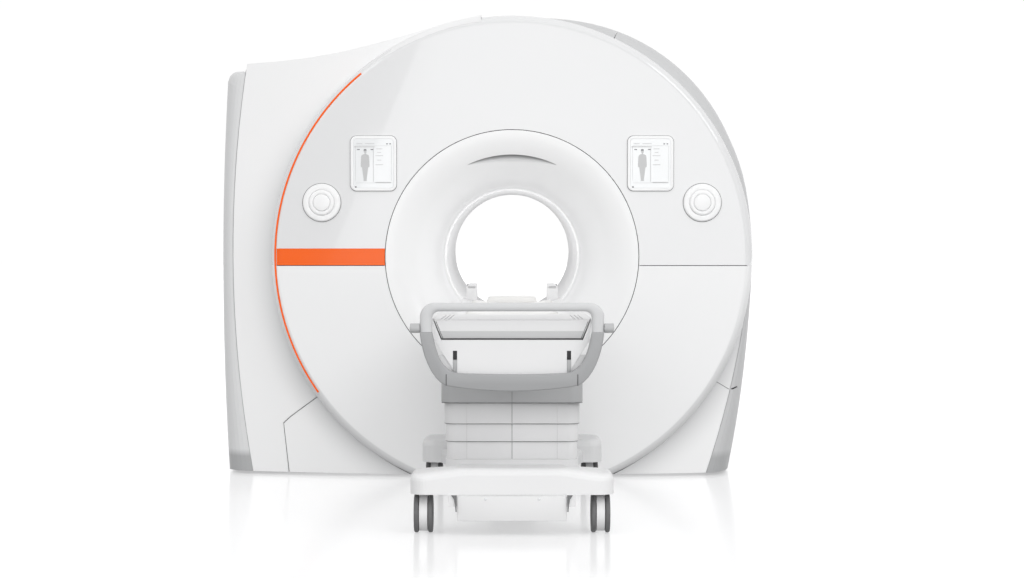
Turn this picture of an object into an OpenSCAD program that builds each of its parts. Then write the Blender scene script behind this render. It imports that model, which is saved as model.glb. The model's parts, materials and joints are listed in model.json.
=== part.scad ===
// Closed-bore MRI scanner with a docking patient table.
// The origin is on the floor under the isocentre, +X to the right, +Y into the bore, +Z up.

/* [Magnet and bore] */
// Radius of the patient bore
bore_r = 300; // [295:1:310]
// Half length of the straight bore
bore_half = 830; // [810:1:850]
// Wall of the bore liner tube
liner_wall = 6; // [4:1:8]
// Thickness of the body coil
body_coil_t = 39; // [30:1:45]
// Thickness of the gradient coil
gradient_t = 100; // [85:1:110]
// Inset of the vacuum vessel from the disc's edge
vessel_in = 138; // [134:1:150]
// Distance from the bore's end to the vacuum vessel's end
vessel_set = 50; // [40:1:80]
// Wall of the vacuum vessel
vessel_wall = 14; // [10:1:20]
// Gap between the vacuum vessel and the helium vessel
vacuum_gap = 76; // [60:1:90]

/* [Front covers] */
// Distance from the isocentre to the front face
face_h = 1195; // [1185:1:1205]
// Radius of the round front cover
disc_r = 1068; // [1062:1:1072]
// Depth that the floor cuts off the round front cover
floor_cut = 88; // [70:1:110]
// Share of the front cover's radius that the funnel takes
seam_share = 0.527; // [0.51:0.001:0.54]
// Drop of the split between the front covers below the bore axis
split_drop = 38; // [30:1:45]
// Wall of the moulded covers
cover_wall = 12; // [10:1:13]
// Width of the rounded edge of the front cover
edge_in = 36; // [28:1:44]
// Depth of the rounded edge of the front cover
edge_drop = 50; // [40:1:60]
// Wall of the bell-mouth funnel
funnel_wall = 45; // [40:1:50]
// Height of the covers' lower edge above the floor
floor_gap = 12; // [8:1:18]

/* [Side covers] */
// Reach of the left side beyond the round front cover
left_out = 245; // [230:1:260]
// Reach of the left flank beyond the round front cover
left_flank_out = 188; // [175:1:200]
// How much smaller the round top of the right body is than the disc
right_in = 196; // [186:1:206]
// Inset of the right body's foot from the front cover's edge
right_foot_in = 80; // [65:1:95]
// Length of the rear funnel
rear_deep = 170; // [140:1:200]
// Thickness of the rear cover
rear_cover_t = 40; // [30:1:50]
// Width of the rear funnel's flare
rear_flare = 150; // [120:1:180]

/* [Displays and dials] */
// Place of the displays across, as a share of the front cover's radius
display_x_share = 0.573; // [0.56:0.001:0.585]
// Place of the displays above the bore axis, as such a share
display_rise_share = 0.3858; // [0.37:0.001:0.4]
// Width of a display housing
display_w = 203; // [180:1:215]
// Height of a display housing
display_tall = 243; // [220:1:260]
// Place of the dials across, as such a share
dial_x_share = 0.7875; // [0.77:0.001:0.8]
// Place of the dials above the bore axis, as such a share
dial_rise_share = 0.2238; // [0.21:0.001:0.24]
// Radius of a dial bezel
dial_r = 84; // [75:1:88]
// Radius of the turning ring
knob_r = 57; // [50:1:60]
// Radius of the push button
button_r = 38; // [30:1:42]
// Travel of the push button
button_travel = 3; // [2:0.5:4]

/* [Table base] */
// Distance between front and rear wheels
wheelbase = 1180; // [1150:1:1210]
// Distance of the rear wheels from the front face
rear_wheel_out = 631; // [615:1:655]
// Distance of the casters from the middle plane
caster_x = 322; // [310:1:326]
// Radius of a caster wheel
wheel_r = 70; // [65:1:72]
// Width of a caster wheel
wheel_w = 18; // [16:1:20]
// Trail of the casters
caster_trail = 30; // [20:1:40]
// Width of the wheeled base
base_w = 738; // [720:1:760]
// Height of the base's underside
base_bottom = 147; // [146:1:155]
// Height of the base under the column
base_top = 224; // [220:1:228]

/* [Lift] */
// Distance of the lifting column from the front face
column_out = 1195; // [1175:1:1215]
// Width of the upper cover stage
stage_w = 519; // [500:1:530]
// Depth of the upper cover stage
stage_d = 420; // [400:1:440]
// Wall of the cover stages
stage_wall = 4; // [3:0.5:5]
// Share of the column's height that the lift travels
lift_share = 0.53; // [0.45:0.01:0.54]

/* [Table] */
// Drop of the table's deck below the bore axis
deck_drop = 271; // [269:1:275]
// Height of the table frame
frame_tall = 124; // [115:1:130]
// Width of the frame at its deck
frame_top_w = 558; // [540:1:570]
// Width of the frame at its underside
frame_bottom_w = 432; // [410:1:450]
// Length of the table frame
frame_len = 1920; // [1900:1:1940]
// Gap between the front face and the table frame
frame_clear = 35; // [30:1:60]
// Gap between the front face and the tabletop
tabletop_clear = 7; // [6:1:20]
// Half width of the tabletop where it enters the bore
board_half = 215; // [205:1:218]
// Half width of the tabletop's foot end
foot_half_top = 280; // [270:1:286]
// Height of the tabletop
board_tall = 88; // [82:1:95]
// Outer width of the push handle
handle_w = 658; // [640:1:670]
// Height of the push handle above the deck
handle_rise = 134; // [125:1:145]
// Diameter of the handle tube
handle_d = 30; // [28:1:32]

/* [Hidden] */
$fn = 256;
overrun = 5;
span = 3000;
arc_steps = 8;
seam = 3;
touch = 0.3;
slide_gap = 0.2;
running_fit = 0.05;

// Driven sizes
axis_h = disc_r - floor_cut;
split_h = axis_h - split_drop;
seam_r = seam_share * disc_r;
body_coil_r = bore_r + liner_wall + body_coil_t;
gradient_r = body_coil_r + gradient_t;
vessel_half = bore_half - vessel_set;
left_reach = disc_r + left_out;
left_seam_reach = disc_r + left_flank_out;
right_body_r = disc_r - right_in;
right_foot = disc_r - right_foot_in;
vessel_r = disc_r - vessel_in;
rear_h = bore_half + rear_deep;
rear_seam_r = bore_r + rear_flare;
display_x = display_x_share * disc_r;
display_h = axis_h + display_rise_share * disc_r;
dial_x = dial_x_share * disc_r;
dial_h = axis_h + dial_rise_share * disc_r;
rear_wheel_y = face_h + rear_wheel_out;
front_wheel_y = rear_wheel_y + wheelbase;
column_y = face_h + column_out;
deck_h = axis_h - deck_drop;
frame_bottom = deck_h - frame_tall;
frame_head = face_h + frame_clear;
frame_foot = frame_head + frame_len;
tabletop_head = face_h + tabletop_clear;
board_top = deck_h + board_tall;
handle_top = deck_h + handle_rise;
lift_travel = lift_share * (frame_bottom - base_top);

// Magnet and bore values
floor_y = floor_gap - axis_h;
helium_outer_r = vessel_r - vessel_wall - vacuum_gap;
helium_inner_r = gradient_r + vessel_wall + vacuum_gap;
helium_half = vessel_half - vacuum_gap;
helium_wall = 8;
coil_depth = 62;
coil_h_shares = [-0.84, -0.47, -0.16, 0.16, 0.47, 0.84];
coil_w_shares = [0.18, 0.15, 0.12, 0.12, 0.15, 0.18];
strut_r = 15;
strut_count = 4;
strut_h_share = 0.7;
foot_x = 510;
foot_w = 160;
foot_top = 260;
foot_half = 700;
cross_t = 40;
cross_half = 100;
cross_y_shares = [-0.8, 0, 0.8];
cold_head_x = 250;
cold_head_y = 300;
cold_head_r = 60;
cold_flange_r = 95;
cold_head_up = 105;
cold_flange_up = 25;
cold_head_in = 70;
cold_head_top = axis_h + vessel_r + cold_head_up;
cold_flange_top = axis_h + vessel_r + cold_flange_up;
cold_head_low = axis_h + vessel_r - cold_head_in;
bed_top = deck_h;

// Front cover values
split_y = split_h - axis_h;
rim_deep = 155;
rim_back_h = face_h - rim_deep;
funnel_lip = 8;
scoop_share = 0.803;
scoop_r = scoop_share * seam_r;
bell_steps = 16;
scoop_half_angle = 26.5;
scoop_depth = 26;
bell_in = seam_r - seam - bore_r;
bell_deep = face_h - bore_half;
scoop_h = bore_half + bell_deep * sqrt(1 - pow((seam_r - seam - scoop_r) / bell_in, 2));
scoop_drop = scoop_r * (1 - cos(scoop_half_angle));
band_low = split_h;
band_tall = 74;
band_inlay = 4;
band_proud = 1;
line_in = 20;
line_r = disc_r - line_in;
line_w = 8;
line_deep = 10;
line_start = 129.5;
line_sweep = 85.5;

// Side cover values
flank_set = 5;
flank_h = face_h - flank_set;
flank_plan_r = 4300;
flank_edge = 2.5;
flank_bow = flank_plan_r - sqrt(flank_plan_r * flank_plan_r - left_seam_reach * left_seam_reach);
flank_deep = flank_set + flank_bow + flank_edge;
flank_back_h = face_h - flank_deep;
left_bow_share = 14.148;
left_bow_r = left_bow_share * disc_r;
left_bow_drop = 75;
left_bow_y = -left_bow_drop;
left_seam_bow_share = 5.03;
left_seam_bow_r = left_seam_bow_share * disc_r;
left_seam_y = 13;
left_corner_deep = 295;
left_corner_h = face_h - left_corner_deep;
left_top_drop_share = 0.2182;
left_top_drop = left_top_drop_share * disc_r;
left_top = axis_h + disc_r - left_top_drop;
corner_in = 7.7;
corner_drop_share = 0.192;
corner_drop = corner_drop_share * disc_r;
corner_y = disc_r - corner_drop;
crest_rise = 8;
crest_edge = 5;
sweep_out_shares = [0.43, 0.07];
sweep_in_shares = [0.40, 0.49];
right_body_x = 185;
right_body_y = 203;
right_blend = 30;
right_side_out = 22;
rim_edge = 17;
right_corner_deep = 395;
right_corner_h = face_h - right_corner_deep;
right_flank_angle = -8;
right_seam_in_share = 0.192;
right_seam_foot = disc_r - right_seam_in_share * disc_r;
right_flank_drop_share = 0.3;
right_flank_drop = right_flank_drop_share * disc_r;
right_flank_top_y = -right_flank_drop;
right_bow = 24;
right_seam_rise = 22;
right_split_angle = 64.8;
top_end_angle = 97;
rear_plane_h = -(rear_h - rear_cover_t);
roof_wall = 10;
roof_drop = 16;
body_steps = 32;
left_round = 45;
left_round_steps = 8;
left_start_in = 20;
left_end = 220;
left_steps = 26;
right_sweep_from = -50;
right_steps = 38;
top_steps = 11;
panel_points_shares = [[0.79, -0.735], [0.815, -0.765], [0.795, -1]];
panel_angle = 215.9;
panel_in = 10;

// Display and dial values
display_round = 28;
display_proud = 9;
display_back = 34;
bezel_w = 13;
glass_t = 5;
dial_proud = 10;
dial_back = 34;
knob_back = 16;
knob_proud = 15;
stem_r = 8;
button_proud = 17;
button_back = 9;

// Docking values
dock_w = 200;
dock_tall = 130;
dock_out = 105;
dock_arm_w = 84;
dock_arm_tall = 54;
dock_h = 195;
dock_gap = 0.3;
dock_tip = 24;

// Table base values
base_corner = 60;
base_round = 26;
front_bar_len = 250;
shoulder_drop = 2;
bar_crest_w = 470;
bar_crest_len = 130;
bar_crest_rise = 19;
pod_rise = 16;
spine_drop = 19;
column_pad_over = 10;
rear_bar_len = 280;
spine_w = 430;
flare_len = 420;
yoke_w = 30;
core_in = 6;
wheel_gap = 1.5;
axle_r = 6;
caster_stem_r = 12;
caster_stem_top = 205;
caster_plate_r = 32;
caster_plate_t = 5;
caster_plate_top = base_bottom - touch;
caster_plate_low = caster_plate_top - caster_plate_t;
yoke_half = 26;
tyre_round = 7;
hub_r = 46;
hub_dish = 6;
pedal_w = 396;
pedal_low = 51;
pedal_t = 10;
pedal_pin_h = 124;
pedal_pin_r = 7;
pedal_hub_r = 13;
pedal_out = 79;
pedal_y = front_wheel_y + pedal_out;
bracket_w = 30;
bracket_d = 40;
bracket_low = 105;

// Lift values
column_round = 50;
stage_gap = 1;
stage_step = stage_wall + stage_gap;
housing_wall = 9;
housing_fit = 5;
housing_w = stage_w + 2 * housing_wall + housing_fit;
housing_d = stage_d + 2 * housing_wall + housing_fit;
housing_rest = 26;
housing_low = base_top + housing_rest + lift_travel;
housing_roof = 12;
stage_rest = 15;
stage_upper_share = 0.6377;
stage_middle_share = 0.2807;
stage_upper_low = base_top + stage_rest + stage_upper_share * lift_travel;
stage_middle_low = base_top + stage_rest + stage_middle_share * lift_travel;
stage_lap = 15;
lift_outer_w = 300;
lift_outer_d = 220;
lift_wall = 10;
lift_round = 24;
lift_round_share = 0.25;
lift_gap = 0.3;
lift_outer_low = 160;
lift_end = 5;
lift_mid_rise = 7;
lift_inner_rise = 45;
lift_outer_top = lift_outer_low + lift_travel + lift_end;
lift_mid_low = lift_outer_low + lift_travel / 2 + lift_mid_rise;
lift_mid_top = lift_outer_top + lift_travel / 2;
lift_inner_low = lift_outer_low + lift_travel + lift_inner_rise;
lift_plate_t = 14;
lift_plate_over = 40;

// Table values
frame_wall = 9;
frame_round = 34;
frame_turn = 70;
down = 270;
slot_x = 204;
slot_w = 15;
slot_tall = 32;
slot_drop = 39;
slot_top = deck_h - slot_drop;
slot_groove = 3;
slot_deep = 6;
cheek_gap = 4;
cheek_out = 7;
cheek_rise = 74;
cheek_t = 3;
board_low = deck_h + slide_gap;
board_low_half = 105;
board_edge = 15;
board_side = 9;
trough_half = 200;
trough_deep = 29;
trough_r = (trough_half * trough_half + trough_deep * trough_deep) / (2 * trough_deep);
foot_low_half = 250;
foot_len = 245;
foot_side = 12;
foot_set = 5;
foot_end = frame_foot - foot_set;
nose_rise = 29;
nose_h = deck_h + nose_rise;
nose_up = 75;
nose_top_drop = 18;
lip_len = 110;
nose_down = 10;
slit_count = 3;
slit_pitch = 14;
slit_w = 4;
slit_len = 60;
slit_deep = 16;
slit_slant = 18;
slit_x = 232;
slit_y = 40;
mattress_half = 170;
mattress_t = 18;
mattress_lip = 12;
mattress_foot_in = lip_len + mattress_lip;
mattress_foot = foot_end - mattress_foot_in;
mattress_head_in = 318;
mattress_head = tabletop_head + mattress_head_in;
pad_half = 110;
pad_rise = 17;
pad_top = board_top + pad_rise;
pad_gap = 40;
pad_foot = mattress_head - pad_gap;
pad_in = 48;
pad_head = tabletop_head + pad_in;
pad_round = 10;
socket_in = 152;
socket_out = 200;
socket_rise = 67;
socket_top = board_top + socket_rise;
socket_len = 130;
socket_round = 14;
socket_slot_w = 30;
socket_slot_t = 8;
socket_slot_deep = 12;
handle_bend = 50;
post_rise = 29;
handle_low = deck_h + post_rise;
post_w = 45;
post_round = 14;
beam_d = 40;
beam_y = frame_foot + beam_d / 2;
beam_drop = 58;
beam_low = frame_bottom - beam_drop;
beam_side_drop = 38;
beam_side_low = frame_bottom - beam_side_drop;
beam_side_rise = 6;
beam_side_top = frame_bottom + beam_side_rise;
beam_mid_rise = 2;
beam_mid_top = frame_bottom + beam_mid_rise;
beam_out = 236;
beam_in = 190;
arm_outer_in = [7, 39];
arm_outer_drop = [78, 166];
arm_inner_in = [12, 34];
arm_inner_drop = [78, 141];
lever_rise = 43;
lever_h = deck_h + lever_rise;
lever_pin_r = 6;
lever_pin_len = 36;
lever_hub_r = 17;
lever_w = 34;
lever_len = 74;
lever_tip_r = 12;

// Points along an arc of an ellipse
function arc(cx, cy, rx, ry, from, to, steps = arc_steps) =
    [for (i = [0:steps]) let (a = from + (to - from) * i / steps)
        [cx + rx * cos(a), cy + ry * sin(a)]];

// Points without the first and the last
function inside(points) = [for (i = [1:len(points) - 2]) points[i]];

// Points along a cubic curve through its four controls
function cubic(p0, p1, p2, p3) =
    [for (i = [0:arc_steps]) let (t = i / arc_steps, u = 1 - t)
        u * u * u * p0 + 3 * u * u * t * p1 + 3 * u * t * t * p2 + t * t * t * p3];

// Distance from the bore axis to a circle around it along the direction t
function to_circle(t, cx, cy, r) =
    let (b = cx * cos(t) + cy * sin(t)) b + sqrt(b * b - cx * cx - cy * cy + r * r);
// Middle and radius of the circle that bows out to the right between p and q
function bow(p, q, rise) =
    let (d = q - p, r = (d * d / 4 + rise * rise) / (2 * rise))
    concat((p + q) / 2 + (r - rise) * [d[1], -d[0]] / norm(d), [r]);

// Distance of the bowed flank face from the isocentre at x
function flank_face(x) = flank_h - flank_plan_r + sqrt(flank_plan_r * flank_plan_r - x * x);

// Outline and seam of the right and left bodies, seen from the front
right_side = disc_r + right_side_out;
right_tip = disc_r * [cos(right_flank_angle), sin(right_flank_angle)];
right_side_bow = bow([right_side, 0], [right_foot, -axis_h], right_bow);
right_seam_bow = bow(right_tip, [right_seam_foot, -axis_h], right_seam_rise);
function ease(u) = let (v = max(0, min(1, u))) v * v * (3 - 2 * v);
function right_outline(t) =
    let (top = to_circle(t, right_body_x, right_body_y, right_body_r),
        side = to_circle(t, right_side_bow[0], right_side_bow[1], right_side_bow[2]))
    max(disc_r + rim_edge, top + (side - top) * ease(1 - t / right_blend));
function right_seam_line(t) = to_circle(t, right_seam_bow[0], right_seam_bow[1], right_seam_bow[2]);
function bow_x(b, y) = b[0] + sqrt(b[2] * b[2] - pow(y - b[1], 2));
function right_seam(t) = t >= right_flank_angle
    ? disc_r + seam
    : max(disc_r, right_seam_line(t)) + seam;
function right_seam_h(t) = flank_face(t >= right_flank_angle ? right_tip[0] : right_seam(t) * cos(t));
function left_x(y) = left_bow_r - left_reach - sqrt(pow(left_bow_r, 2) - pow(y - left_bow_y, 2));
left_top_y = left_top - axis_h;
left_round_at = [left_x(left_top_y) + left_round, left_top_y - left_round];
left_from = atan2(left_top_y, left_round_at[0]);
left_to = atan2(left_round_at[1], left_round_at[0] - left_round);
left_start_x = left_seam_bow_r - left_seam_reach - left_start_in
    - sqrt(pow(left_seam_bow_r, 2) - pow(left_top_y - left_seam_y, 2));
left_start = atan2(left_top_y, left_start_x);
roof_start_x = left_start_x + seam + cover_wall;
corner_x = -roof_start_x - corner_in;
function left_outline(t) = t < left_from ? left_top_y / sin(t)
    : t < left_to ? to_circle(t, left_round_at[0], left_round_at[1], left_round)
    : to_circle(t, left_bow_r - left_reach, left_bow_y, left_bow_r);
function left_seam(t) =
    to_circle(t, left_seam_bow_r - left_seam_reach, left_seam_y, left_seam_bow_r) + seam;
function left_seam_h(t) = flank_face(left_seam(t) * cos(t));

// Sweeping top edge of the upper left body, from its corner p to its crest q
function top_sweep(p, q) =
    let (d = q - p)
    cubic(p, p + [sweep_out_shares[0] * d[0], sweep_out_shares[1] * d[1]],
        q - [sweep_in_shares[0] * d[0], sweep_in_shares[1] * d[1]], q);
top_end = right_outline(top_end_angle) * [cos(top_end_angle), sin(top_end_angle)];
crest_x = seam - top_end[0];
crest_y = sqrt(disc_r * disc_r - crest_x * crest_x) + crest_rise;
function clear_of_disc(p) = p * max(1, (disc_r + crest_edge) / norm(p));
function flank_top(drop) =
    [for (p = top_sweep([-corner_x, corner_y], [-crest_x, crest_y])) clear_of_disc(p) - [0, drop]];
function roof_line(drop) = concat(
    [[roof_start_x, left_top_y - drop]],
    top_sweep([-corner_x, corner_y - roof_drop - drop], top_end - [seam, drop]));

// Local z runs out of the front of the bore and local y runs up
module along_bore() translate([0, 0, axis_h]) rotate([90, 0, 0]) children();

// Extrusion towards the isocentre along Y of an outline in X and Z
module along_table(from, to)
    translate([0, -to, 0]) rotate([90, 0, 0]) linear_extrude(from - to) children();

module rounded_rect(w, h, r) {
    square([w - 2 * r, h], center = true);
    square([w, h - 2 * r], center = true);
    for (x = [-1, 1], y = [-1, 1])
        translate([x * (w / 2 - r), y * (h / 2 - r)]) circle(r = r);
}

module tube(outer, inner, half)
    linear_extrude(2 * half, center = true)
        difference() {
            circle(r = outer);
            circle(r = inner);
        }

// Annular vessel with walls of one thickness
module vessel(outer, inner, half, wall)
    rotate_extrude()
        difference() {
            translate([inner, -half]) square([outer - inner, 2 * half]);
            translate([inner + wall, -half + wall])
                square([outer - inner - 2 * wall, 2 * (half - wall)]);
        }

// Magnet

module vacuum_vessel() color("gainsboro") along_bore()
    vessel(vessel_r, gradient_r, vessel_half, vessel_wall);

module helium_vessel() color("silver") along_bore()
    vessel(helium_outer_r, helium_inner_r, helium_half, helium_wall);

module suspension_struts() color("khaki") along_bore()
    intersection() {
        for (i = [0:strut_count - 1], side = [-1, 1])
            rotate([0, 0, (i + 0.5) * 360 / strut_count])
                translate([0, 0, side * helium_half * strut_h_share])
                    rotate([0, 90, 0]) cylinder(r = strut_r, h = vessel_r);
        tube(vessel_r - vessel_wall, helium_outer_r, vessel_half);
    }

module magnet_coils() color("peru") along_bore()
    for (i = [0:len(coil_h_shares) - 1])
        translate([0, 0, coil_h_shares[i] * helium_half])
            tube(helium_inner_r + helium_wall + coil_depth, helium_inner_r + helium_wall,
                coil_w_shares[i] * helium_half / 2);

module cold_head() color("dimgray")
    difference() {
        translate([cold_head_x, cold_head_y, 0]) {
            translate([0, 0, cold_head_low])
                cylinder(r = cold_flange_r, h = cold_flange_top - cold_head_low);
            translate([0, 0, cold_head_low])
                cylinder(r = cold_head_r, h = cold_head_top - cold_head_low);
        }
        along_bore() cylinder(r = vessel_r, h = 2 * vessel_half, center = true);
    }

module magnet_feet() color("darkgray")
    difference() {
        union() {
            for (side = [-1, 1])
                translate([side * foot_x - foot_w / 2, -foot_half, 0])
                    cube([foot_w, 2 * foot_half, foot_top]);
            for (share = cross_y_shares)
                translate([-foot_x, share * foot_half - cross_half, 0])
                    cube([2 * foot_x, 2 * cross_half, cross_t]);
        }
        along_bore() cylinder(r = vessel_r, h = span, center = true);
    }

module gradient_coil() color("sandybrown") along_bore()
    tube(gradient_r, body_coil_r, vessel_half);

module body_coil() color("burlywood") along_bore()
    tube(body_coil_r, bore_r + liner_wall, vessel_half);

module bore_liner() color("whitesmoke") along_bore()
    tube(bore_r + liner_wall, bore_r, bore_half);

// Flat bed on the bore's floor that the tabletop runs over
module bore_bed() color("lightgray") along_bore()
    linear_extrude(2 * bore_half, center = true)
        intersection() {
            circle(r = bore_r);
            translate([-bore_r, -bore_r]) square([2 * bore_r, bed_top - axis_h + bore_r]);
        }

// Front covers

module front_ring()
    rotate_extrude()
        polygon(concat(
            [[seam_r, face_h]],
            arc(disc_r - edge_in, face_h - edge_drop, edge_in, edge_drop, 90, 0),
            [[disc_r, rim_back_h], [disc_r - cover_wall, rim_back_h]],
            arc(disc_r - edge_in, face_h - edge_drop, edge_in - cover_wall,
                edge_drop - cover_wall, 0, 90),
            [[seam_r, face_h - cover_wall]]));

module accent_line_form()
    rotate([0, 0, line_start])
        rotate_extrude(angle = line_sweep)
            translate([line_r - line_w / 2, face_h - line_deep - band_proud])
                square([line_w, line_deep]);

module accent_band_form(depth)
    translate([-(disc_r - edge_in), band_low - axis_h, face_h - band_inlay])
        linear_extrude(depth)
            difference() {
                square([disc_r - edge_in - seam_r + overrun, band_tall]);
                translate([disc_r - edge_in, axis_h - band_low]) circle(r = seam_r);
            }

module front_upper_cover() color("gainsboro") along_bore()
    difference() {
        intersection() {
            front_ring();
            translate([-span / 2, split_y, 0]) cube([span, span, span]);
        }
        for (side = [-1, 1]) {
            translate([side * display_x, display_h - axis_h, face_h - cover_wall - overrun])
                linear_extrude(cover_wall + 2 * overrun)
                    rounded_rect(display_w, display_tall, display_round);
            translate([side * dial_x, dial_h - axis_h, face_h - cover_wall - overrun])
                cylinder(r = dial_r, h = cover_wall + 2 * overrun);
        }
        accent_band_form(band_inlay + overrun);
        accent_line_form();
    }

module front_lower_cover() color("white") along_bore()
    difference() {
        intersection() {
            front_ring();
            translate([-span / 2, floor_y, 0]) cube([span, split_y - floor_y, span]);
        }
        translate([-span / 2, split_y - seam, face_h - cover_wall / 2])
            cube([span, seam + overrun, cover_wall]);
        accent_line_form();
    }

module accent_band() color("orangered") along_bore() accent_band_form(band_inlay + band_proud);

module accent_line() color("orangered") along_bore() accent_line_form();

// Bell mouth from the seam into the bore, with a crescent scooped out at the top
module bell(lip_r, half, deep, wall)
    rotate_extrude()
        polygon(concat(
            [[lip_r, half + deep - funnel_lip], [lip_r - seam, half + deep - funnel_lip]],
            arc(lip_r - seam, half, lip_r - seam - bore_r, deep, 90, 180, bell_steps),
            arc(lip_r - seam, half, lip_r - seam - bore_r - wall, deep - wall, 180, 90, bell_steps),
            [[lip_r, half + deep - wall]]));

module front_funnel() color("white") along_bore()
    difference() {
        bell(seam_r, bore_half, bell_deep, funnel_wall);
        intersection() {
            cylinder(r = scoop_r, h = span);
            translate([0, scoop_r, scoop_h - scoop_depth])
                rotate([-atan(scoop_depth / scoop_drop), 0, 0])
                    translate([-scoop_r, -2 * scoop_r, 0])
                        cube([2 * scoop_r, 4 * scoop_r, 2 * scoop_r]);
        }
    }

module rear_funnel() color("white") mirror([0, 1, 0]) along_bore()
    bell(rear_seam_r, bore_half, rear_h - bore_half, funnel_wall);

// Side covers

// Space behind the bowed flank face
module behind_flank(setback)
    translate([0, 0, flank_h - flank_plan_r])
        rotate([90, 0, 0]) cylinder(r = flank_plan_r - setback, h = span, center = true);

// Front outline of the left flank, drawn in by inset
module left_flank_outline(inset)
    difference() {
        intersection() {
            translate([left_seam_bow_r - left_seam_reach, left_seam_y])
                circle(r = left_seam_bow_r - inset);
            polygon(concat(
                [[-crest_x, floor_y + inset], [-left_reach, floor_y + inset],
                    [-left_reach, corner_y - inset]],
                flank_top(inset)));
        }
        circle(r = disc_r + inset);
    }

module left_panel_outline(grow)
    polygon(concat(
        [[0, floor_y - overrun], [0, (disc_r - panel_in) * sin(panel_angle) + grow],
            (disc_r - panel_in) * [cos(panel_angle), sin(panel_angle)] + [-grow, grow]],
        [for (p = panel_points_shares) [-p[0] * left_seam_reach - grow, p[1] * axis_h + grow]]));

// A tray with a bowed face, open behind
module flank_tray() {
    difference() {
        intersection() {
            translate([0, 0, flank_back_h]) linear_extrude(span) children(0);
            behind_flank(0);
        }
        intersection() {
            translate([0, 0, flank_back_h - overrun]) linear_extrude(span) children(1);
            behind_flank(cover_wall);
        }
    }
}

module left_tray()
    flank_tray() {
        left_flank_outline(0);
        left_flank_outline(cover_wall);
    }

module left_flank() color("white") along_bore()
    difference() {
        left_tray();
        translate([0, 0, flank_back_h - overrun]) linear_extrude(span) left_panel_outline(seam);
    }

module left_service_panel() color("white") along_bore()
    intersection() {
        left_tray();
        translate([0, 0, flank_back_h - overrun]) linear_extrude(span) left_panel_outline(0);
    }

module right_flank_outline(inset)
    difference() {
        polygon(concat(
            [for (i = [0:arc_steps]) let (from = right_flank_top_y - inset, to = floor_y + inset,
                y = from + (to - from) * i / arc_steps) [bow_x(right_seam_bow, y) - inset, y]],
            [[0, floor_y + inset], [0, right_flank_top_y - inset]]));
        circle(r = disc_r + inset);
    }

module right_flank() color("white") along_bore()
    flank_tray() {
        right_flank_outline(0);
        right_flank_outline(cover_wall);
    }

// Wrapped shell: its section runs up the outline from the rear, round the front corner and in to
// the seam, and is swept about the bore axis
function shell_section(out, in, in_h, corner_h) = concat(
    [[out, rear_plane_h]],
    [for (p = arc(in, corner_h, out - in, in_h - corner_h, 0, 90)) p],
    [for (p = arc(in, corner_h, out - cover_wall - in, in_h - cover_wall - corner_h, 90, 0)) p],
    [[out - cover_wall, rear_plane_h]]);

function turned(from, to, steps) = [for (i = [0:steps]) from + (to - from) * i / steps];

module wrapped_shell(turns, outline, edge, edge_h, corner_h) {
    steps = len(turns) - 1;
    sections = [for (t = turns) shell_section(outline(t), edge(t), edge_h(t), corner_h)];
    n = len(sections[0]);
    points = [for (i = [0:steps]) for (p = sections[i])
        [p[0] * cos(turns[i]), p[0] * sin(turns[i]), p[1]]];
    sides = [for (i = [0:steps - 1], j = [0:n - 1])
        [i * n + j, i * n + (j + 1) % n, (i + 1) * n + (j + 1) % n, (i + 1) * n + j]];
    ends = [[for (j = [n - 1:-1:0]) j], [for (j = [0:n - 1]) steps * n + j]];
    polyhedron(points, concat(sides, ends));
}

module left_side_cover() color("lightgray") along_bore()
    intersection() {
        wrapped_shell(concat([left_start], turned(left_from, left_to, left_round_steps),
            [for (i = [1:left_steps]) left_to + (left_end - left_to) * i / left_steps]),
            function(t) left_outline(t), function(t) left_seam(t), function(t) left_seam_h(t), left_corner_h);
        translate([-span, floor_y, -span / 2]) cube([span, left_top - floor_gap, span]);
    }

module right_side_cover() color("lightgray") along_bore()
    intersection() {
        wrapped_shell(turned(right_sweep_from, right_split_angle, right_steps),
            function(t) right_outline(t), function(t) right_seam(t), function(t) right_seam_h(t),
            right_corner_h);
        translate([0, floor_y, -span / 2]) cube([span, span, span]);
    }

module top_cover() color("lightgray") along_bore()
    wrapped_shell(turned(right_split_angle + atan(seam / disc_r), top_end_angle, top_steps),
        function(t) right_outline(t), function(t) right_seam(t), function(t) right_seam_h(t),
        right_corner_h);

module roof_cover() color("lightgray") along_bore()
    translate([0, 0, rear_plane_h])
        linear_extrude(flank_back_h - touch - rear_plane_h)
            polygon(concat(roof_line(0),
                [for (i = [len(roof_line(0)) - 1:-1:0]) roof_line(roof_wall)[i]]));

// Whole body seen from the front, clockwise from the left foot
body_outline = concat(
    [for (i = [0:arc_steps]) let (y = floor_y + (left_round_at[1] - floor_y) * i / arc_steps) [left_x(y), y]],
    inside(arc(left_round_at[0], left_round_at[1], left_round, left_round, 180, 90)),
    [[left_round_at[0], left_top_y]],
    roof_line(0),
    [for (i = [0:body_steps]) let (t = top_end_angle * (1 - i / body_steps))
        right_outline(t) * [cos(t), sin(t)]],
    [for (i = [1:arc_steps]) let (y = floor_y * i / arc_steps) [bow_x(right_side_bow, y), y]]);

module rear_cover() color("lightgray") along_bore()
    translate([0, 0, -rear_h])
        linear_extrude(rear_cover_t)
            difference() {
                polygon(body_outline);
                circle(r = rear_seam_r);
            }

// Displays and dials

module display_housings() color("white") along_bore()
    for (side = [-1, 1])
        translate([side * display_x, display_h - axis_h, face_h - display_back])
            difference() {
                linear_extrude(display_back + display_proud)
                    rounded_rect(display_w, display_tall, display_round);
                translate([0, 0, display_back + display_proud - glass_t])
                    linear_extrude(glass_t + overrun)
                        rounded_rect(display_w - 2 * bezel_w, display_tall - 2 * bezel_w,
                            display_round - bezel_w);
            }

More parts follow.
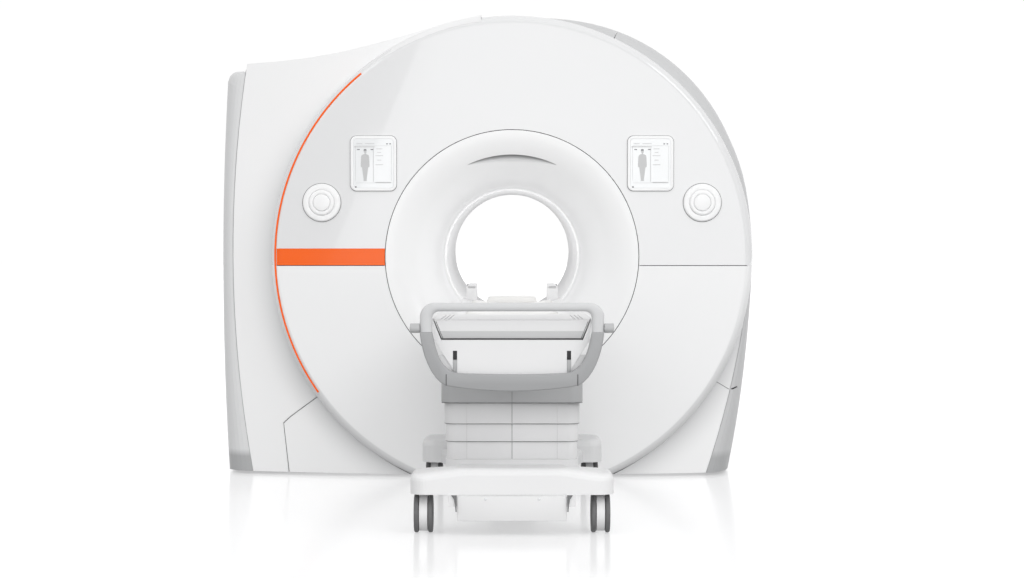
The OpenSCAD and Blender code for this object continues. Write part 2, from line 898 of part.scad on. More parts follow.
module display_glasses() color("aliceblue") along_bore()
    for (side = [-1, 1])
        translate([side * display_x, display_h - axis_h, face_h + display_proud - glass_t])
            linear_extrude(glass_t)
                rounded_rect(display_w - 2 * bezel_w, display_tall - 2 * bezel_w,
                    display_round - bezel_w);

module at_dial(side) along_bore() translate([side * dial_x, dial_h - axis_h, face_h]) children();

module dial_bezels() color("white")
    for (side = [-1, 1])
        at_dial(side) rotate_extrude()
            polygon([[stem_r + running_fit, -dial_back], [dial_r, -dial_back],
                [dial_r, dial_proud / 2], [dial_r - dial_proud / 2, dial_proud],
                [knob_r + touch, dial_proud], [knob_r + touch, -knob_back - touch],
                [stem_r + running_fit, -knob_back - touch]]);

module dial_ring(side) color("lightgray")
    at_dial(side) rotate_extrude()
        polygon([[button_r + touch, -knob_back], [knob_r, -knob_back], [knob_r, dial_proud],
            [knob_r - (knob_proud - dial_proud), knob_proud], [button_r + touch, knob_proud]]);

module dial_button(side) color("white")
    at_dial(side) {
        translate([0, 0, -button_back])
            cylinder(r = button_r, h = button_proud + button_back);
        translate([0, 0, button_travel - dial_back])
            cylinder(r = stem_r, h = dial_back - button_travel);
    }

// Docking coupling under the bore

module dock_socket() color("darkgray")
    translate([0, -face_h, dock_h]) rotate([90, 0, 0])
        difference() {
            linear_extrude(dock_out) rounded_rect(dock_w, dock_tall, dock_tall / 4);
            translate([0, 0, dock_tip])
                linear_extrude(dock_out)
                    square([dock_arm_w + 2 * dock_gap, dock_arm_tall + 2 * dock_gap], center = true);
        }

module dock_arm() color("dimgray")
    translate([-dock_arm_w / 2, -(rear_wheel_y - rear_bar_len / 2), dock_h - dock_arm_tall / 2])
        cube([dock_arm_w, rear_wheel_y - rear_bar_len / 2 - face_h - dock_tip - dock_gap,
            dock_arm_tall]);

// Table base

// Convex block with rounded upper edges
module rounded_block(w, d, corner, top)
    hull()
        for (a = [0:22.5:90])
            translate([0, 0, base_bottom])
                linear_extrude(top - base_round * (1 - sin(a)) - base_bottom)
                    rounded_rect(w - 2 * base_round * (1 - cos(a)), d - 2 * base_round * (1 - cos(a)),
                        corner - base_round * (1 - cos(a)), $fn = 32);

module base_flare(side)
    hull()
        for (a = [0:22.5:90]) let (in = base_round * (1 - cos(a)))
            translate([0, -rear_wheel_y, base_bottom])
                linear_extrude(base_top - spine_drop - base_round * (1 - sin(a)) - base_bottom)
                    polygon([[0, 0], [side * (base_w / 2 - base_corner - in), 0],
                        [side * (base_w / 2 - base_corner - in), -rear_bar_len / 4],
                        [side * (spine_w / 2 - in), -flare_len], [0, -flare_len]]);

// Front bar with a raised middle and shoulders that fall to both ends and to the rear
module front_bar()
    hull() {
        rounded_block(base_w, front_bar_len, base_corner, base_top - shoulder_drop);
        translate([0, (bar_crest_len - front_bar_len) / 2, 0])
            rounded_block(bar_crest_w, bar_crest_len, base_corner, base_top + bar_crest_rise);
    }

function swivel_y(front) = -(front ? front_wheel_y : rear_wheel_y) + caster_trail;

module trolley_base() color("white")
    difference() {
        union() {
            translate([0, swivel_y(true), 0]) front_bar();
            translate([0, -rear_wheel_y, 0])
                rounded_block(base_w, rear_bar_len, base_corner, base_top + pod_rise);
            translate([0, -(front_wheel_y + rear_wheel_y) / 2, 0])
                rounded_block(spine_w, front_wheel_y - rear_wheel_y, base_corner,
                    base_top - spine_drop);
            translate([0, -column_y, base_bottom])
                linear_extrude(base_top - base_bottom)
                    rounded_rect(stage_w - 4 * stage_step + column_pad_over,
                        stage_d - 4 * stage_step + column_pad_over, column_round);
            for (side = [-1, 1]) base_flare(side);
        }
        for (side = [-1, 1], front = [true, false])
            translate([side * caster_x, swivel_y(front), base_bottom - overrun])
                cylinder(r = caster_stem_r + running_fit,
                    h = caster_stem_top - base_bottom + overrun + touch);
        translate([0, -column_y, lift_outer_low])
            linear_extrude(base_top) rounded_rect(lift_outer_w, lift_outer_d, lift_round);
    }

module caster_fork(side, front) color("lightgray")
    translate([side * caster_x, swivel_y(front), 0])
        difference() {
            union() {
                rotate_extrude()
                    polygon([[0, caster_plate_low], [caster_plate_r, caster_plate_low],
                        [caster_plate_r, caster_plate_top], [caster_stem_r, caster_plate_top],
                        [caster_stem_r, caster_stem_top], [0, caster_stem_top]]);
                rotate([90, 0, 90])
                    linear_extrude(yoke_w, center = true) {
                        translate([-caster_trail, wheel_r]) circle(r = wheel_r - core_in);
                        polygon([[yoke_half, caster_plate_low + caster_plate_t / 2],
                            [-yoke_half, caster_plate_low + caster_plate_t / 2],
                            [-yoke_half, wheel_r], [yoke_half, wheel_r]]);
                    }
            }
            translate([0, -caster_trail, wheel_r])
                rotate([0, 90, 0]) cylinder(r = axle_r + running_fit, h = 2 * yoke_w, center = true);
        }

// Two wheels with dished faces on one axle
module caster_wheels(side, front) color("gray")
    translate([side * caster_x, swivel_y(front) - caster_trail, wheel_r])
        rotate([0, 90, 0]) {
            cylinder(r = axle_r, h = yoke_w + 2 * wheel_gap + wheel_w, center = true);
            for (way = [0, 180])
                rotate([way, 0, 0])
                    translate([0, 0, yoke_w / 2 + wheel_gap])
                        rotate_extrude()
                            polygon(concat(
                                [[0, 0]],
                                arc(wheel_r - tyre_round, tyre_round, tyre_round, tyre_round, -90, 0),
                                arc(wheel_r - tyre_round, wheel_w - tyre_round, tyre_round,
                                    tyre_round, 0, 90),
                                [[hub_r, wheel_w], [hub_r - hub_dish, wheel_w - hub_dish],
                                    [0, wheel_w - hub_dish]]));
        }

module pedal_brackets() color("lightgray")
    for (side = [-1, 1])
        translate([side * (pedal_w / 2 + bracket_w / 2 + touch), -pedal_y, 0])
            difference() {
                translate([-bracket_w / 2, -bracket_d / 2, bracket_low])
                    cube([bracket_w, bracket_d, base_bottom - bracket_low]);
                translate([0, 0, pedal_pin_h])
                    rotate([0, 90, 0])
                        cylinder(r = pedal_pin_r + running_fit, h = 2 * bracket_w, center = true);
            }

// Hanging foot plate on a cross pin
module brake_pedal() color("white")
    translate([0, -pedal_y, 0]) {
        translate([0, 0, pedal_pin_h])
            rotate([0, 90, 0]) {
                cylinder(r = pedal_hub_r, h = pedal_w, center = true);
                cylinder(r = pedal_pin_r, h = pedal_w + 2 * bracket_w, center = true);
            }
        rotate([90, 0, 0])
            translate([0, (pedal_low + pedal_pin_h) / 2, -pedal_t / 2])
                linear_extrude(pedal_t)
                    rounded_rect(pedal_w, pedal_pin_h - pedal_low, pedal_hub_r);
    }

// Lift

module ring_tube(w, d, r, wall, low, top)
    translate([0, -column_y, low])
        linear_extrude(top - low)
            difference() {
                rounded_rect(w, d, r);
                rounded_rect(w - 2 * wall, d - 2 * wall, r - wall);
            }

module lift_stage(n, low, top)
    let (in = n * (lift_wall + lift_gap))
        ring_tube(lift_outer_w - 2 * in, lift_outer_d - 2 * in, lift_round - in * lift_round_share,
            lift_wall, low, top);

module lift_outer() color("silver") lift_stage(0, lift_outer_low, lift_outer_top);

module lift_mid() color("silver") lift_stage(1, lift_mid_low, lift_mid_top);

module lift_inner() color("silver") {
    lift_stage(2, lift_inner_low, frame_bottom - housing_roof);
    translate([0, -column_y, frame_bottom - housing_roof - lift_plate_t])
        linear_extrude(lift_plate_t)
            rounded_rect(lift_outer_w + lift_plate_over, lift_outer_d + lift_plate_over, lift_round);
}

module cover_stage(n, low, top)
    ring_tube(stage_w - 2 * n * stage_step, stage_d - 2 * n * stage_step,
        column_round - n * stage_step, stage_wall, low, top);

module stage_upper() color("white") cover_stage(0, stage_upper_low, housing_low + stage_lap);

module stage_middle() color("white") cover_stage(1, stage_middle_low, stage_upper_low + stage_lap);

module stage_lower() color("white") cover_stage(2, base_top, stage_middle_low + stage_lap);

module column_housing() color("gray") {
    ring_tube(housing_w, housing_d, column_round, housing_wall, housing_low, frame_bottom);
    translate([0, -column_y, frame_bottom - housing_roof])
        linear_extrude(housing_roof)
            rounded_rect(housing_w, housing_d, column_round);
}

// Table frame

module frame_section(inset)
    polygon(concat(
        [[frame_top_w / 2 - inset, deck_h - inset], [-frame_top_w / 2 + inset, deck_h - inset]],
        arc(-frame_bottom_w / 2 + frame_round, frame_bottom + frame_round, frame_round - inset,
            frame_round - inset, down - frame_turn, down),
        arc(frame_bottom_w / 2 - frame_round, frame_bottom + frame_round, frame_round - inset,
            frame_round - inset, down, down + frame_turn)));

// Sides of the frame that hold the tabletop's foot end
module cheek(side)
    along_table(frame_foot, foot_end - foot_len)
        polygon([[side * (foot_low_half + cheek_gap), deck_h - frame_wall / 2],
            [side * (foot_low_half + cheek_gap), deck_h],
            [side * (frame_top_w / 2 + cheek_out - cheek_t), deck_h + cheek_rise],
            [side * (frame_top_w / 2 + cheek_out), deck_h + cheek_rise],
            [side * (frame_top_w / 2 - cheek_t), deck_h - frame_wall / 2]]);

module table_frame() color("white")
    difference() {
        union() {
            along_table(frame_foot, frame_head) frame_section(0);
            for (side = [-1, 1]) cheek(side);
        }
        along_table(frame_foot - frame_wall, frame_head + frame_wall) frame_section(frame_wall);
        for (side = [-1, 1]) {
            translate([side * slot_x - slot_w / 2, -frame_foot - overrun, slot_top - slot_tall])
                cube([slot_w, slot_deep + overrun, slot_tall]);
            translate([side * slot_x - slot_w / 2, -frame_foot - overrun, frame_bottom - overrun])
                cube([slot_w, slot_groove + overrun, slot_top - frame_bottom]);
        }
    }

// Cross beam with two arms that carry the push handle
module end_beam() color("darkgray")
    along_table(frame_foot + beam_d, frame_foot) {
        bottom_r = (beam_out * beam_out + pow(beam_side_low - beam_low, 2))
            / (2 * (beam_side_low - beam_low));
        top_r = (beam_in * beam_in + pow(beam_side_top - beam_mid_top, 2))
            / (2 * (beam_side_top - beam_mid_top));
        bottom_a = asin(beam_out / bottom_r);
        top_a = asin(beam_in / top_r);
        outer = cubic([handle_w / 2, handle_low],
            [handle_w / 2 - arm_outer_in[0], handle_low - arm_outer_drop[0]],
            [handle_w / 2 - arm_outer_in[1], handle_low - arm_outer_drop[1]], [beam_out, beam_side_low]);
        inner = cubic([beam_in, beam_side_top],
            [handle_w / 2 - post_w - arm_inner_in[1], handle_low - arm_inner_drop[1]],
            [handle_w / 2 - post_w - arm_inner_in[0], handle_low - arm_inner_drop[0]],
            [handle_w / 2 - post_w, handle_low]);
        polygon(concat(
            [for (p = outer) [-p[0], p[1]]],
            inside(arc(0, beam_low + bottom_r, bottom_r, bottom_r, down - bottom_a, down + bottom_a)),
            [for (i = [arc_steps:-1:0]) outer[i]],
            [for (i = [arc_steps:-1:0]) inner[i]],
            inside(arc(0, beam_mid_top + top_r, top_r, top_r, down + top_a, down - top_a)),
            [for (p = inner) [-p[0], p[1]]]));
    }

module push_handle() color("darkgray")
    translate([0, -beam_y, 0]) {
        bar = handle_w / 2 - handle_d / 2 - handle_bend;
        bar_h = handle_top - handle_d / 2;
        translate([0, 0, bar_h])
            rotate([0, 90, 0]) cylinder(d = handle_d, h = 2 * bar, center = true);
        for (side = [0, 180])
            rotate([0, 0, side]) {
                translate([bar, 0, bar_h - handle_bend])
                    rotate([90, 0, 0])
                        rotate_extrude(angle = 90) translate([handle_bend, 0]) circle(d = handle_d);
                translate([handle_w / 2 - post_w / 2, 0, handle_low])
                    linear_extrude(bar_h - handle_bend - handle_low)
                        rounded_rect(post_w, handle_d, post_round);
                translate([bar + handle_bend, 0, lever_h])
                    rotate([0, 90, 0]) cylinder(r = lever_pin_r, h = handle_d / 2 + lever_pin_len);
            }
    }

// Grip lever that turns on the handle's pin
module lever(side) color("lightgray")
    translate([side * (handle_w / 2 + touch), -beam_y, lever_h])
        rotate([90, 0, 90])
            translate([0, 0, side > 0 ? 0 : -lever_w])
                linear_extrude(lever_w)
                    difference() {
                        union() {
                            circle(r = lever_hub_r);
                            translate([lever_len, 0]) circle(r = lever_tip_r);
                            polygon([[0, -lever_hub_r], [lever_len, -lever_tip_r],
                                [lever_len, lever_tip_r], [0, lever_hub_r]]);
                        }
                        circle(r = lever_pin_r + running_fit);
                    }

// Tabletop

// Hollow that the patient lies in, from right to left, lifted by rise and half wide
function trough(half, rise) =
    let (a = asin(half / trough_r), top = board_top - trough_deep + trough_r)
    arc(0, top, trough_r - rise, trough_r - rise, 270 + a, 270 - a);

module board_section()
    polygon(concat(
        [[-board_half, board_top - board_side], [-board_low_half, board_low], [board_low_half, board_low],
            [board_half, board_top - board_side], [board_half, board_top]],
        trough(trough_half, 0),
        [[-board_half, board_top]]));

module foot_section(hollow)
    polygon(concat(
        [[-foot_half_top, board_top - foot_side], [-foot_low_half, board_low],
            [foot_low_half, board_low], [foot_half_top, board_top - foot_side],
            [foot_half_top - foot_side, board_top]],
        hollow ? trough(trough_half, 0) : [],
        [[-foot_half_top + foot_side, board_top]]));

module tabletop() color("whitesmoke")
    difference() {
        union() {
            along_table(foot_end - foot_len, tabletop_head) board_section();
            intersection() {
                union() {
                    along_table(foot_end, foot_end - lip_len) foot_section(false);
                    along_table(foot_end - lip_len, foot_end - foot_len) foot_section(true);
                }
                rotate([90, 0, 90])
                    linear_extrude(span, center = true)
                        polygon([[-foot_end + nose_down, board_low], [-foot_end, nose_h],
                            [-foot_end, board_top - nose_top_drop],
                            [-foot_end + nose_up, board_top], [-foot_end + foot_len, board_top],
                            [-foot_end + foot_len, board_low]]);
            }
        }
        for (side = [-1, 1], i = [0:slit_count - 1])
            translate([side * (slit_x + (i - 1) * slit_pitch), -foot_end + slit_y, board_top])
                rotate([0, 0, side * slit_slant]) cube([slit_w, slit_len, 2 * slit_deep], center = true);
    }

// Middle of the hollow, between two lifts
module trough_fill(half, low, high)
    intersection() {
        polygon(concat(trough(trough_half, low),
            [for (i = [arc_steps:-1:0]) trough(trough_half, high)[i]]));
        translate([-half, deck_h]) square([2 * half, 2 * board_tall]);
    }

module mattress() color("lightgray")
    along_table(mattress_foot, mattress_head) trough_fill(mattress_half, touch, mattress_t);

module head_pad() color("white")
    along_table(pad_foot, pad_head)
        intersection() {
            polygon([[-pad_half, deck_h], [pad_half, deck_h], [pad_half, pad_top - pad_round],
                [pad_half - pad_round, pad_top], [-pad_half + pad_round, pad_top],
                [-pad_half, pad_top - pad_round]]);
            trough_fill(pad_half, touch, trough_deep + 2 * pad_rise);
        }

// Plug-in posts for the receive coils on both sides of the head end
module coil_sockets() color("white")
    difference() {
        for (side = [-1, 1])
            along_table(tabletop_head + socket_len, tabletop_head + socket_round)
                polygon([[side * socket_in, board_top - trough_deep / 2],
                    [side * socket_out, board_top - trough_deep / 2],
                    [side * socket_out, socket_top - socket_round],
                    [side * (socket_out - socket_round), socket_top], [side * socket_in, socket_top]]);
        along_table(foot_end - foot_len, tabletop_head) board_section();
        for (side = [-1, 1])
            translate([side * (socket_in + socket_out) / 2, -tabletop_head - socket_len,
                socket_top - 2 * socket_slot_t])
                cube([socket_slot_w, 2 * socket_slot_deep, socket_slot_t], center = true);
    }

magnet_feet();
vacuum_vessel();
helium_vessel();
suspension_struts();
magnet_coils();
cold_head();
gradient_coil();
body_coil();
bore_liner();
bore_bed();
front_upper_cover();
front_lower_cover();
front_funnel();
rear_cover();
rear_funnel();
left_flank();
left_service_panel();
right_flank();
left_side_cover();
right_side_cover();
top_cover();
roof_cover();
accent_band();
accent_line();
display_housings();
display_glasses();
dial_bezels();
dial_ring(-1);  // dial_ring_left
dial_ring(1);  // dial_ring_right
dial_button(-1);  // dial_button_left
dial_button(1);  // dial_button_right
dock_socket();
trolley_base();
dock_arm();
pedal_brackets();
brake_pedal();
caster_fork(-1, true);  // caster_fork_front_left
caster_fork(1, true);  // caster_fork_front_right
caster_fork(-1, false);  // caster_fork_rear_left
caster_fork(1, false);  // caster_fork_rear_right
caster_wheels(-1, true);  // caster_wheels_front_left
caster_wheels(1, true);  // caster_wheels_front_right
caster_wheels(-1, false);  // caster_wheels_rear_left
caster_wheels(1, false);  // caster_wheels_rear_right
lift_outer();
lift_mid();
lift_inner();
stage_upper();
stage_middle();
stage_lower();
column_housing();
table_frame();
end_beam();
push_handle();
lever(-1);  // lever_left
lever(1);  // lever_right
tabletop();
mattress();
head_pad();
coil_sockets();
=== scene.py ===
import json
import math

import bpy
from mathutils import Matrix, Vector

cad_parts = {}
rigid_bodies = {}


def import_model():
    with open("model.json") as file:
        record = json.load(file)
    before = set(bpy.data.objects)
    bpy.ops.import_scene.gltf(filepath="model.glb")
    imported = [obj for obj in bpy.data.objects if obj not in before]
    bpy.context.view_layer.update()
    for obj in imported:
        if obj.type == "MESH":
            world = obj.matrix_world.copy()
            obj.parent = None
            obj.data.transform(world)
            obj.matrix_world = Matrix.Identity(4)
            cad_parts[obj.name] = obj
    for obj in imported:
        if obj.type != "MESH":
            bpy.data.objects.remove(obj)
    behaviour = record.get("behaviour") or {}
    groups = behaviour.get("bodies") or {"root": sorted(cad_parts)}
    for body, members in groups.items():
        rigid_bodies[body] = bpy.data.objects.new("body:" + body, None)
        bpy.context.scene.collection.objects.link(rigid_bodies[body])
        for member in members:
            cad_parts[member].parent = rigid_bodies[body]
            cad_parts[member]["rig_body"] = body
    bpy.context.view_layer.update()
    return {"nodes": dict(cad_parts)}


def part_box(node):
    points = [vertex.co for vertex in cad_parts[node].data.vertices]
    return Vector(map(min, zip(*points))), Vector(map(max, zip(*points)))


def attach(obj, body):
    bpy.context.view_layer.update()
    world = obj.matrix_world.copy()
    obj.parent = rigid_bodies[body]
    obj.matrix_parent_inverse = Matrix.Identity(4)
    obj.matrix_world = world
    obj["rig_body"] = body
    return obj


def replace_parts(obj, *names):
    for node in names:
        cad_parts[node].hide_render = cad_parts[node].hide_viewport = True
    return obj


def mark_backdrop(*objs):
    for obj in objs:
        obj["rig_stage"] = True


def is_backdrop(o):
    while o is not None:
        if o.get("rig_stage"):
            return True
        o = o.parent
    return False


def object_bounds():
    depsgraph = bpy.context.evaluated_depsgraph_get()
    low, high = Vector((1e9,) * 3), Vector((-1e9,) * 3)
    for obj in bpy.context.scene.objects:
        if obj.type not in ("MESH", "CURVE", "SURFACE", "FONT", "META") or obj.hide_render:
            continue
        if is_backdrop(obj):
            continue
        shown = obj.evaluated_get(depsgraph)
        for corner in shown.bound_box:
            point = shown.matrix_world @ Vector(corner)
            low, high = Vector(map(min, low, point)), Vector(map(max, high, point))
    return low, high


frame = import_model()
nodes = frame["nodes"]


# Shader maths

class Wire:
    """A socket's value, so that shader maths reads as an expression."""

    def __init__(self, paint, socket):
        self.paint, self.socket = paint, socket

    def math(self, operation, first, second=0.0):
        return self.paint.node("ShaderNodeMath", {"operation": operation}, {0: first, 1: second})

    def __add__(self, other):
        return self.math("ADD", self, other)

    def __radd__(self, other):
        return self.math("ADD", other, self)

    def __sub__(self, other):
        return self.math("SUBTRACT", self, other)

    def __rsub__(self, other):
        return self.math("SUBTRACT", other, self)

    def __mul__(self, other):
        return self.math("MULTIPLY", self, other)

    def __rmul__(self, other):
        return self.math("MULTIPLY", other, self)

    def above(self, limit, soft):
        """0 below the limit and 1 above it, over a soft step."""
        return self.paint.node("ShaderNodeMapRange", {"clamp": True},
                               {"Value": self, "From Min": limit - soft, "From Max": limit + soft})


class Paint:
    """A material with one principled shader and patterns on Object coordinates."""

    def __init__(self, name, **fixed):
        self.material = bpy.data.materials.new(name)
        self.material.use_nodes = True
        self.tree = self.material.node_tree
        self.shader = self.tree.nodes["Principled BSDF"]
        for socket, value in fixed.items():
            self.shader.inputs[socket.replace("_", " ")].default_value = value
        self.place = self.node("ShaderNodeTexCoord", out="Object")

    def node(self, kind, settings=None, values=None, out=0):
        made = self.tree.nodes.new(kind)
        for key, value in (settings or {}).items():
            setattr(made, key, value)
        for key, value in (values or {}).items():
            self.feed(made.inputs[key], value)
        return Wire(self, made.outputs[out])

    def feed(self, socket, value):
        if isinstance(value, Wire):
            self.tree.links.new(value.socket, socket)
        else:
            socket.default_value = value

    def noise(self, scale, detail=2.0, stretch=(1, 1, 1)):
        place = self.place
        if stretch != (1, 1, 1):
            place = self.node("ShaderNodeMapping", None, {"Vector": place, "Scale": stretch})
        return self.node("ShaderNodeTexNoise", None, {"Vector": place, "Scale": scale, "Detail": detail})

    def cells(self, scale):
        return self.node("ShaderNodeTexVoronoi", None, {"Vector": self.place, "Scale": scale})

    def axis(self, name):
        return self.node("ShaderNodeSeparateXYZ", None, {0: self.place}, out=name)

    def mix(self, share, first, second):
        return self.node("ShaderNodeMix", {"data_type": "RGBA"}, {0: share, 6: first, 7: second}, out=2)

    def colour(self, value):
        self.feed(self.shader.inputs["Base Color"], value)

    def rough(self, value):
        self.feed(self.shader.inputs["Roughness"], value)

    def relief(self, height, strength, distance, edge=0.0):
        values = {"Height": height, "Strength": strength, "Distance": distance}
        if edge:
            values["Normal"] = self.node("ShaderNodeBevel", {"samples": 4}, {"Radius": edge})
        self.feed(self.shader.inputs["Normal"], self.node("ShaderNodeBump", None, values))


def rgb(red, green, blue):
    return (red, green, blue, 1.0)


def grey(value):
    return rgb(value, value, value * 1.006)


def moulded(name, shade, roughness, coat=0.0, peel=700.0, edge=0.0015, tint=0.96, clear=0.12):
    """Painted or moulded plastic: faint clouding, fine skin texture and a rounded edge."""
    paint = Paint(name, Coat_Weight=coat, Coat_Roughness=clear)
    cloud = paint.noise(2.3, 4.0)
    skin = paint.noise(peel, 2.0)
    paint.tone = paint.mix(cloud, rgb(*(c * tint for c in shade)), rgb(*shade))
    paint.colour(paint.tone)
    paint.rough(roughness + (cloud - 0.5) * 0.05 + (skin - 0.5) * 0.08)
    paint.relief(skin, 0.06, 0.0005, edge)
    return paint


def powder_coat(name, shade, roughness):
    """Powder coated metal: a pebbled skin with a little colour spread."""
    paint = Paint(name)
    pebble = paint.cells(520.0)
    cloud = paint.noise(5.0, 5.0)
    paint.colour(paint.mix(cloud, rgb(*(c * 0.95 for c in shade)), rgb(*shade)))
    paint.rough(roughness + (pebble - 0.4) * 0.12)
    paint.relief(pebble, 0.10, 0.0006, 0.0015)
    return paint


def brushed(name, shade, roughness, stretch):
    """Brushed or drawn metal: fine lines along one way."""
    paint = Paint(name, Metallic=1.0)
    lines = paint.noise(140.0, 5.0, stretch)
    paint.colour(paint.mix(lines, rgb(*(c * 0.86 for c in shade)), rgb(*shade)))
    paint.rough(roughness + (lines - 0.5) * 0.2)
    paint.relief(lines, 0.08, 0.0004, 0.001)
    return paint


white_cover = moulded("white_cover_gloss", (0.94, 0.942, 0.945), 0.30, coat=0.25, tint=0.975)
flank_white = moulded("flank_gloss", (0.94, 0.942, 0.945), 0.30, coat=0.25, tint=0.975)
# The lower front cover's white is a little darker than the other whites: painted shade
lower_cover = moulded("lower_cover_gloss", (0.90, 0.903, 0.907), 0.30, coat=0.25)
funnel_white = moulded("funnel_gloss", (0.93, 0.932, 0.935), 0.30, coat=0.25, tint=0.985)
upper_cover = moulded("upper_cover_gloss", (0.785, 0.788, 0.795), 0.045, coat=0.8, tint=0.985, clear=0.01)
grey_cover = moulded("grey_cover_satin", (0.75, 0.755, 0.76), 0.42)
# Right side and top covers: a darker copy of the grey cover paint, painted shade
painted_shade_grey = moulded("grey_cover_painted_shade", (0.60, 0.604, 0.61), 0.42)
liner_white = moulded("bore_liner_satin", (0.86, 0.86, 0.865), 0.38)
orange = moulded("orange_inlay", (1.0, 0.135, 0.004), 0.10, coat=0.1, tint=0.97, clear=0.02)
orange.shader.inputs["Specular IOR Level"].default_value = 0.25
base_white = moulded("base_cover_satin", (0.86, 0.86, 0.865), 0.36)
composite = moulded("tabletop_composite", (0.83, 0.83, 0.835), 0.34)
socket_white = moulded("socket_plastic", (0.80, 0.80, 0.805), 0.4)
table_white = powder_coat("table_white_coat", (0.82, 0.82, 0.825), 0.42)
table_grey = powder_coat("table_grey_coat", (0.37, 0.374, 0.381), 0.38)
handle_grey = powder_coat("handle_coat", (0.64, 0.645, 0.652), 0.36)
column_grey = powder_coat("column_housing_coat", (0.44, 0.445, 0.45), 0.45)
stage_white = moulded("stage_cover_coat", (0.82, 0.82, 0.825), 0.42)
# Levers: a darker copy of the handle's grey coat, painted shade
lever_painted_shade = powder_coat("lever_coat", (0.48, 0.484, 0.49), 0.36)
fork_white = moulded("caster_core", (0.84, 0.84, 0.845), 0.4)
feet_grey = powder_coat("magnet_feet_coat", (0.18, 0.185, 0.19), 0.5)
steel = brushed("vessel_steel", (0.62, 0.63, 0.64), 0.32, (1, 0.05, 1))
aluminium = brushed("column_aluminium", (0.72, 0.73, 0.74), 0.3, (1, 1, 0.05))
copper = brushed("winding_copper", (0.75, 0.38, 0.2), 0.35, (1, 0.1, 1))
fibre = moulded("strut_fibre", (0.55, 0.48, 0.26), 0.5)
ink_dark = moulded("display_ink_dark", (0.22, 0.225, 0.235), 0.3)
ink_grey = moulded("display_ink_grey", (0.58, 0.584, 0.588), 0.3)
ink_pale = moulded("display_ink_pale", (0.66, 0.665, 0.67), 0.3)
# Dark grey of the lines painted as shadow round the displays and dials
shadow_line_grey = moulded("dial_painted_shadow_line", (0.25, 0.253, 0.258), 0.5)
joint_grey = moulded("joint_filler", (0.52, 0.524, 0.53), 0.5)
gusset_grey = powder_coat("gusset_coat", (0.16, 0.163, 0.168), 0.5)
seam_grey = moulded("cover_joint", (0.20, 0.203, 0.208), 0.6)
fold_grey = moulded("cover_fold", (0.66, 0.663, 0.668), 0.5)
# Dark rubber of the gaskets and seams, also used for the strips painted as shadow at the tabletop's foot
dark_rubber_and_shadow = moulded("seam_gasket_and_painted_shadow", (0.03, 0.03, 0.032), 0.7, tint=0.8)


def tyre():
    """Grey rubber with dust in the tread."""
    paint = Paint("tyre_rubber")
    dust = paint.noise(60.0, 6.0)
    grain = paint.noise(900.0, 2.0)
    paint.colour(paint.mix(dust, rgb(0.10, 0.10, 0.104), rgb(0.17, 0.17, 0.172)))
    paint.rough(0.62 + (dust - 0.5) * 0.2)
    paint.relief(grain, 0.2, 0.0004, 0.0015)
    return paint


def screen():
    """Lit display behind coated glass."""
    paint = Paint("display_screen", Roughness=0.06, Coat_Weight=1.0, Coat_Roughness=0.02, Emission_Strength=0.12)
    glow = paint.noise(9.0, 1.0)
    lit = paint.mix(glow, rgb(0.74, 0.755, 0.765), rgb(0.80, 0.81, 0.815))
    paint.colour(lit)
    paint.feed(paint.shader.inputs["Emission Color"], lit)
    return paint


def pad_cover():
    """Wipe-clean coated fabric with a fine leather grain."""
    paint = Paint("pad_cover", Coat_Weight=0.1)
    grain = paint.cells(420.0)
    cloud = paint.noise(7.0, 4.0)
    paint.colour(paint.mix(cloud, rgb(0.78, 0.772, 0.755), rgb(0.84, 0.833, 0.82)))
    paint.rough(0.5 + (grain - 0.4) * 0.15)
    paint.relief(grain, 0.25, 0.0007)
    return paint


def shaded(paint, share, dark):
    """Darkens a moulded paint where the share is one."""
    paint.tone = paint.mix(share, paint.tone, rgb(*dark))
    paint.colour(paint.tone)


def ramp(value, low, high):
    """0 at low, 1 at high, held level beyond them."""
    return value.paint.node("ShaderNodeMapRange", {"clamp": True}, {"Value": value, "From Min": low, "From Max": high})


def ring_part(paint, middle):
    """Distance from the bore axis, and height over it, at each point of the paint."""
    x, z = paint.axis("X"), paint.axis("Z") - middle
    square = x * x + z * z
    return square.math("SQRT", square), z


# Grey plinth line of the side covers; painted shade on the lower half of the round front's rounded rim
BORE_Z = 0.98
for paint in (grey_cover, painted_shade_grey):
    shaded(paint, 1.0 - paint.axis("Z").above(0.094, 0.016), (0.43, 0.435, 0.44))
reach, rise = ring_part(lower_cover, BORE_Z)
shaded(lower_cover, reach.above(1.034, 0.003) * (1.0 - rise.above(-0.28, 0.2)), (0.74, 0.744, 0.75))
# Painted shade on the under side of the tabletop's nose
shaded(composite,
       (1.0 - composite.axis("Z").above(0.7405, 0.0014)) * (1.0 - composite.axis("Y").above(-3.09, 0.01)),
       (0.60, 0.603, 0.608))

# Shade in the funnel's scoop, over the bore's mouth and on its lip
SCOOP_R = 0.4525
reach, rise = ring_part(funnel_white, BORE_Z)
across = funnel_white.axis("X") * funnel_white.axis("X")
under = ramp(SCOOP_R - reach, 0.034 - across * 0.80, 0.0)
inside = (SCOOP_R - reach).above(0.0, 0.0008) * (0.0405 - across).above(0.002, 0.002) * rise.above(0.3, 0.02)
near = ramp(reach, 0.355, 0.300)
shaded(funnel_white, near * near * ramp(rise, -0.12, 0.12) * 0.2, (0.62, 0.623, 0.628))
shaded(funnel_white, ramp(reach, 0.314, 0.304), (0.64, 0.643, 0.648))
shaded(funnel_white, under * inside, (0.40, 0.403, 0.408))

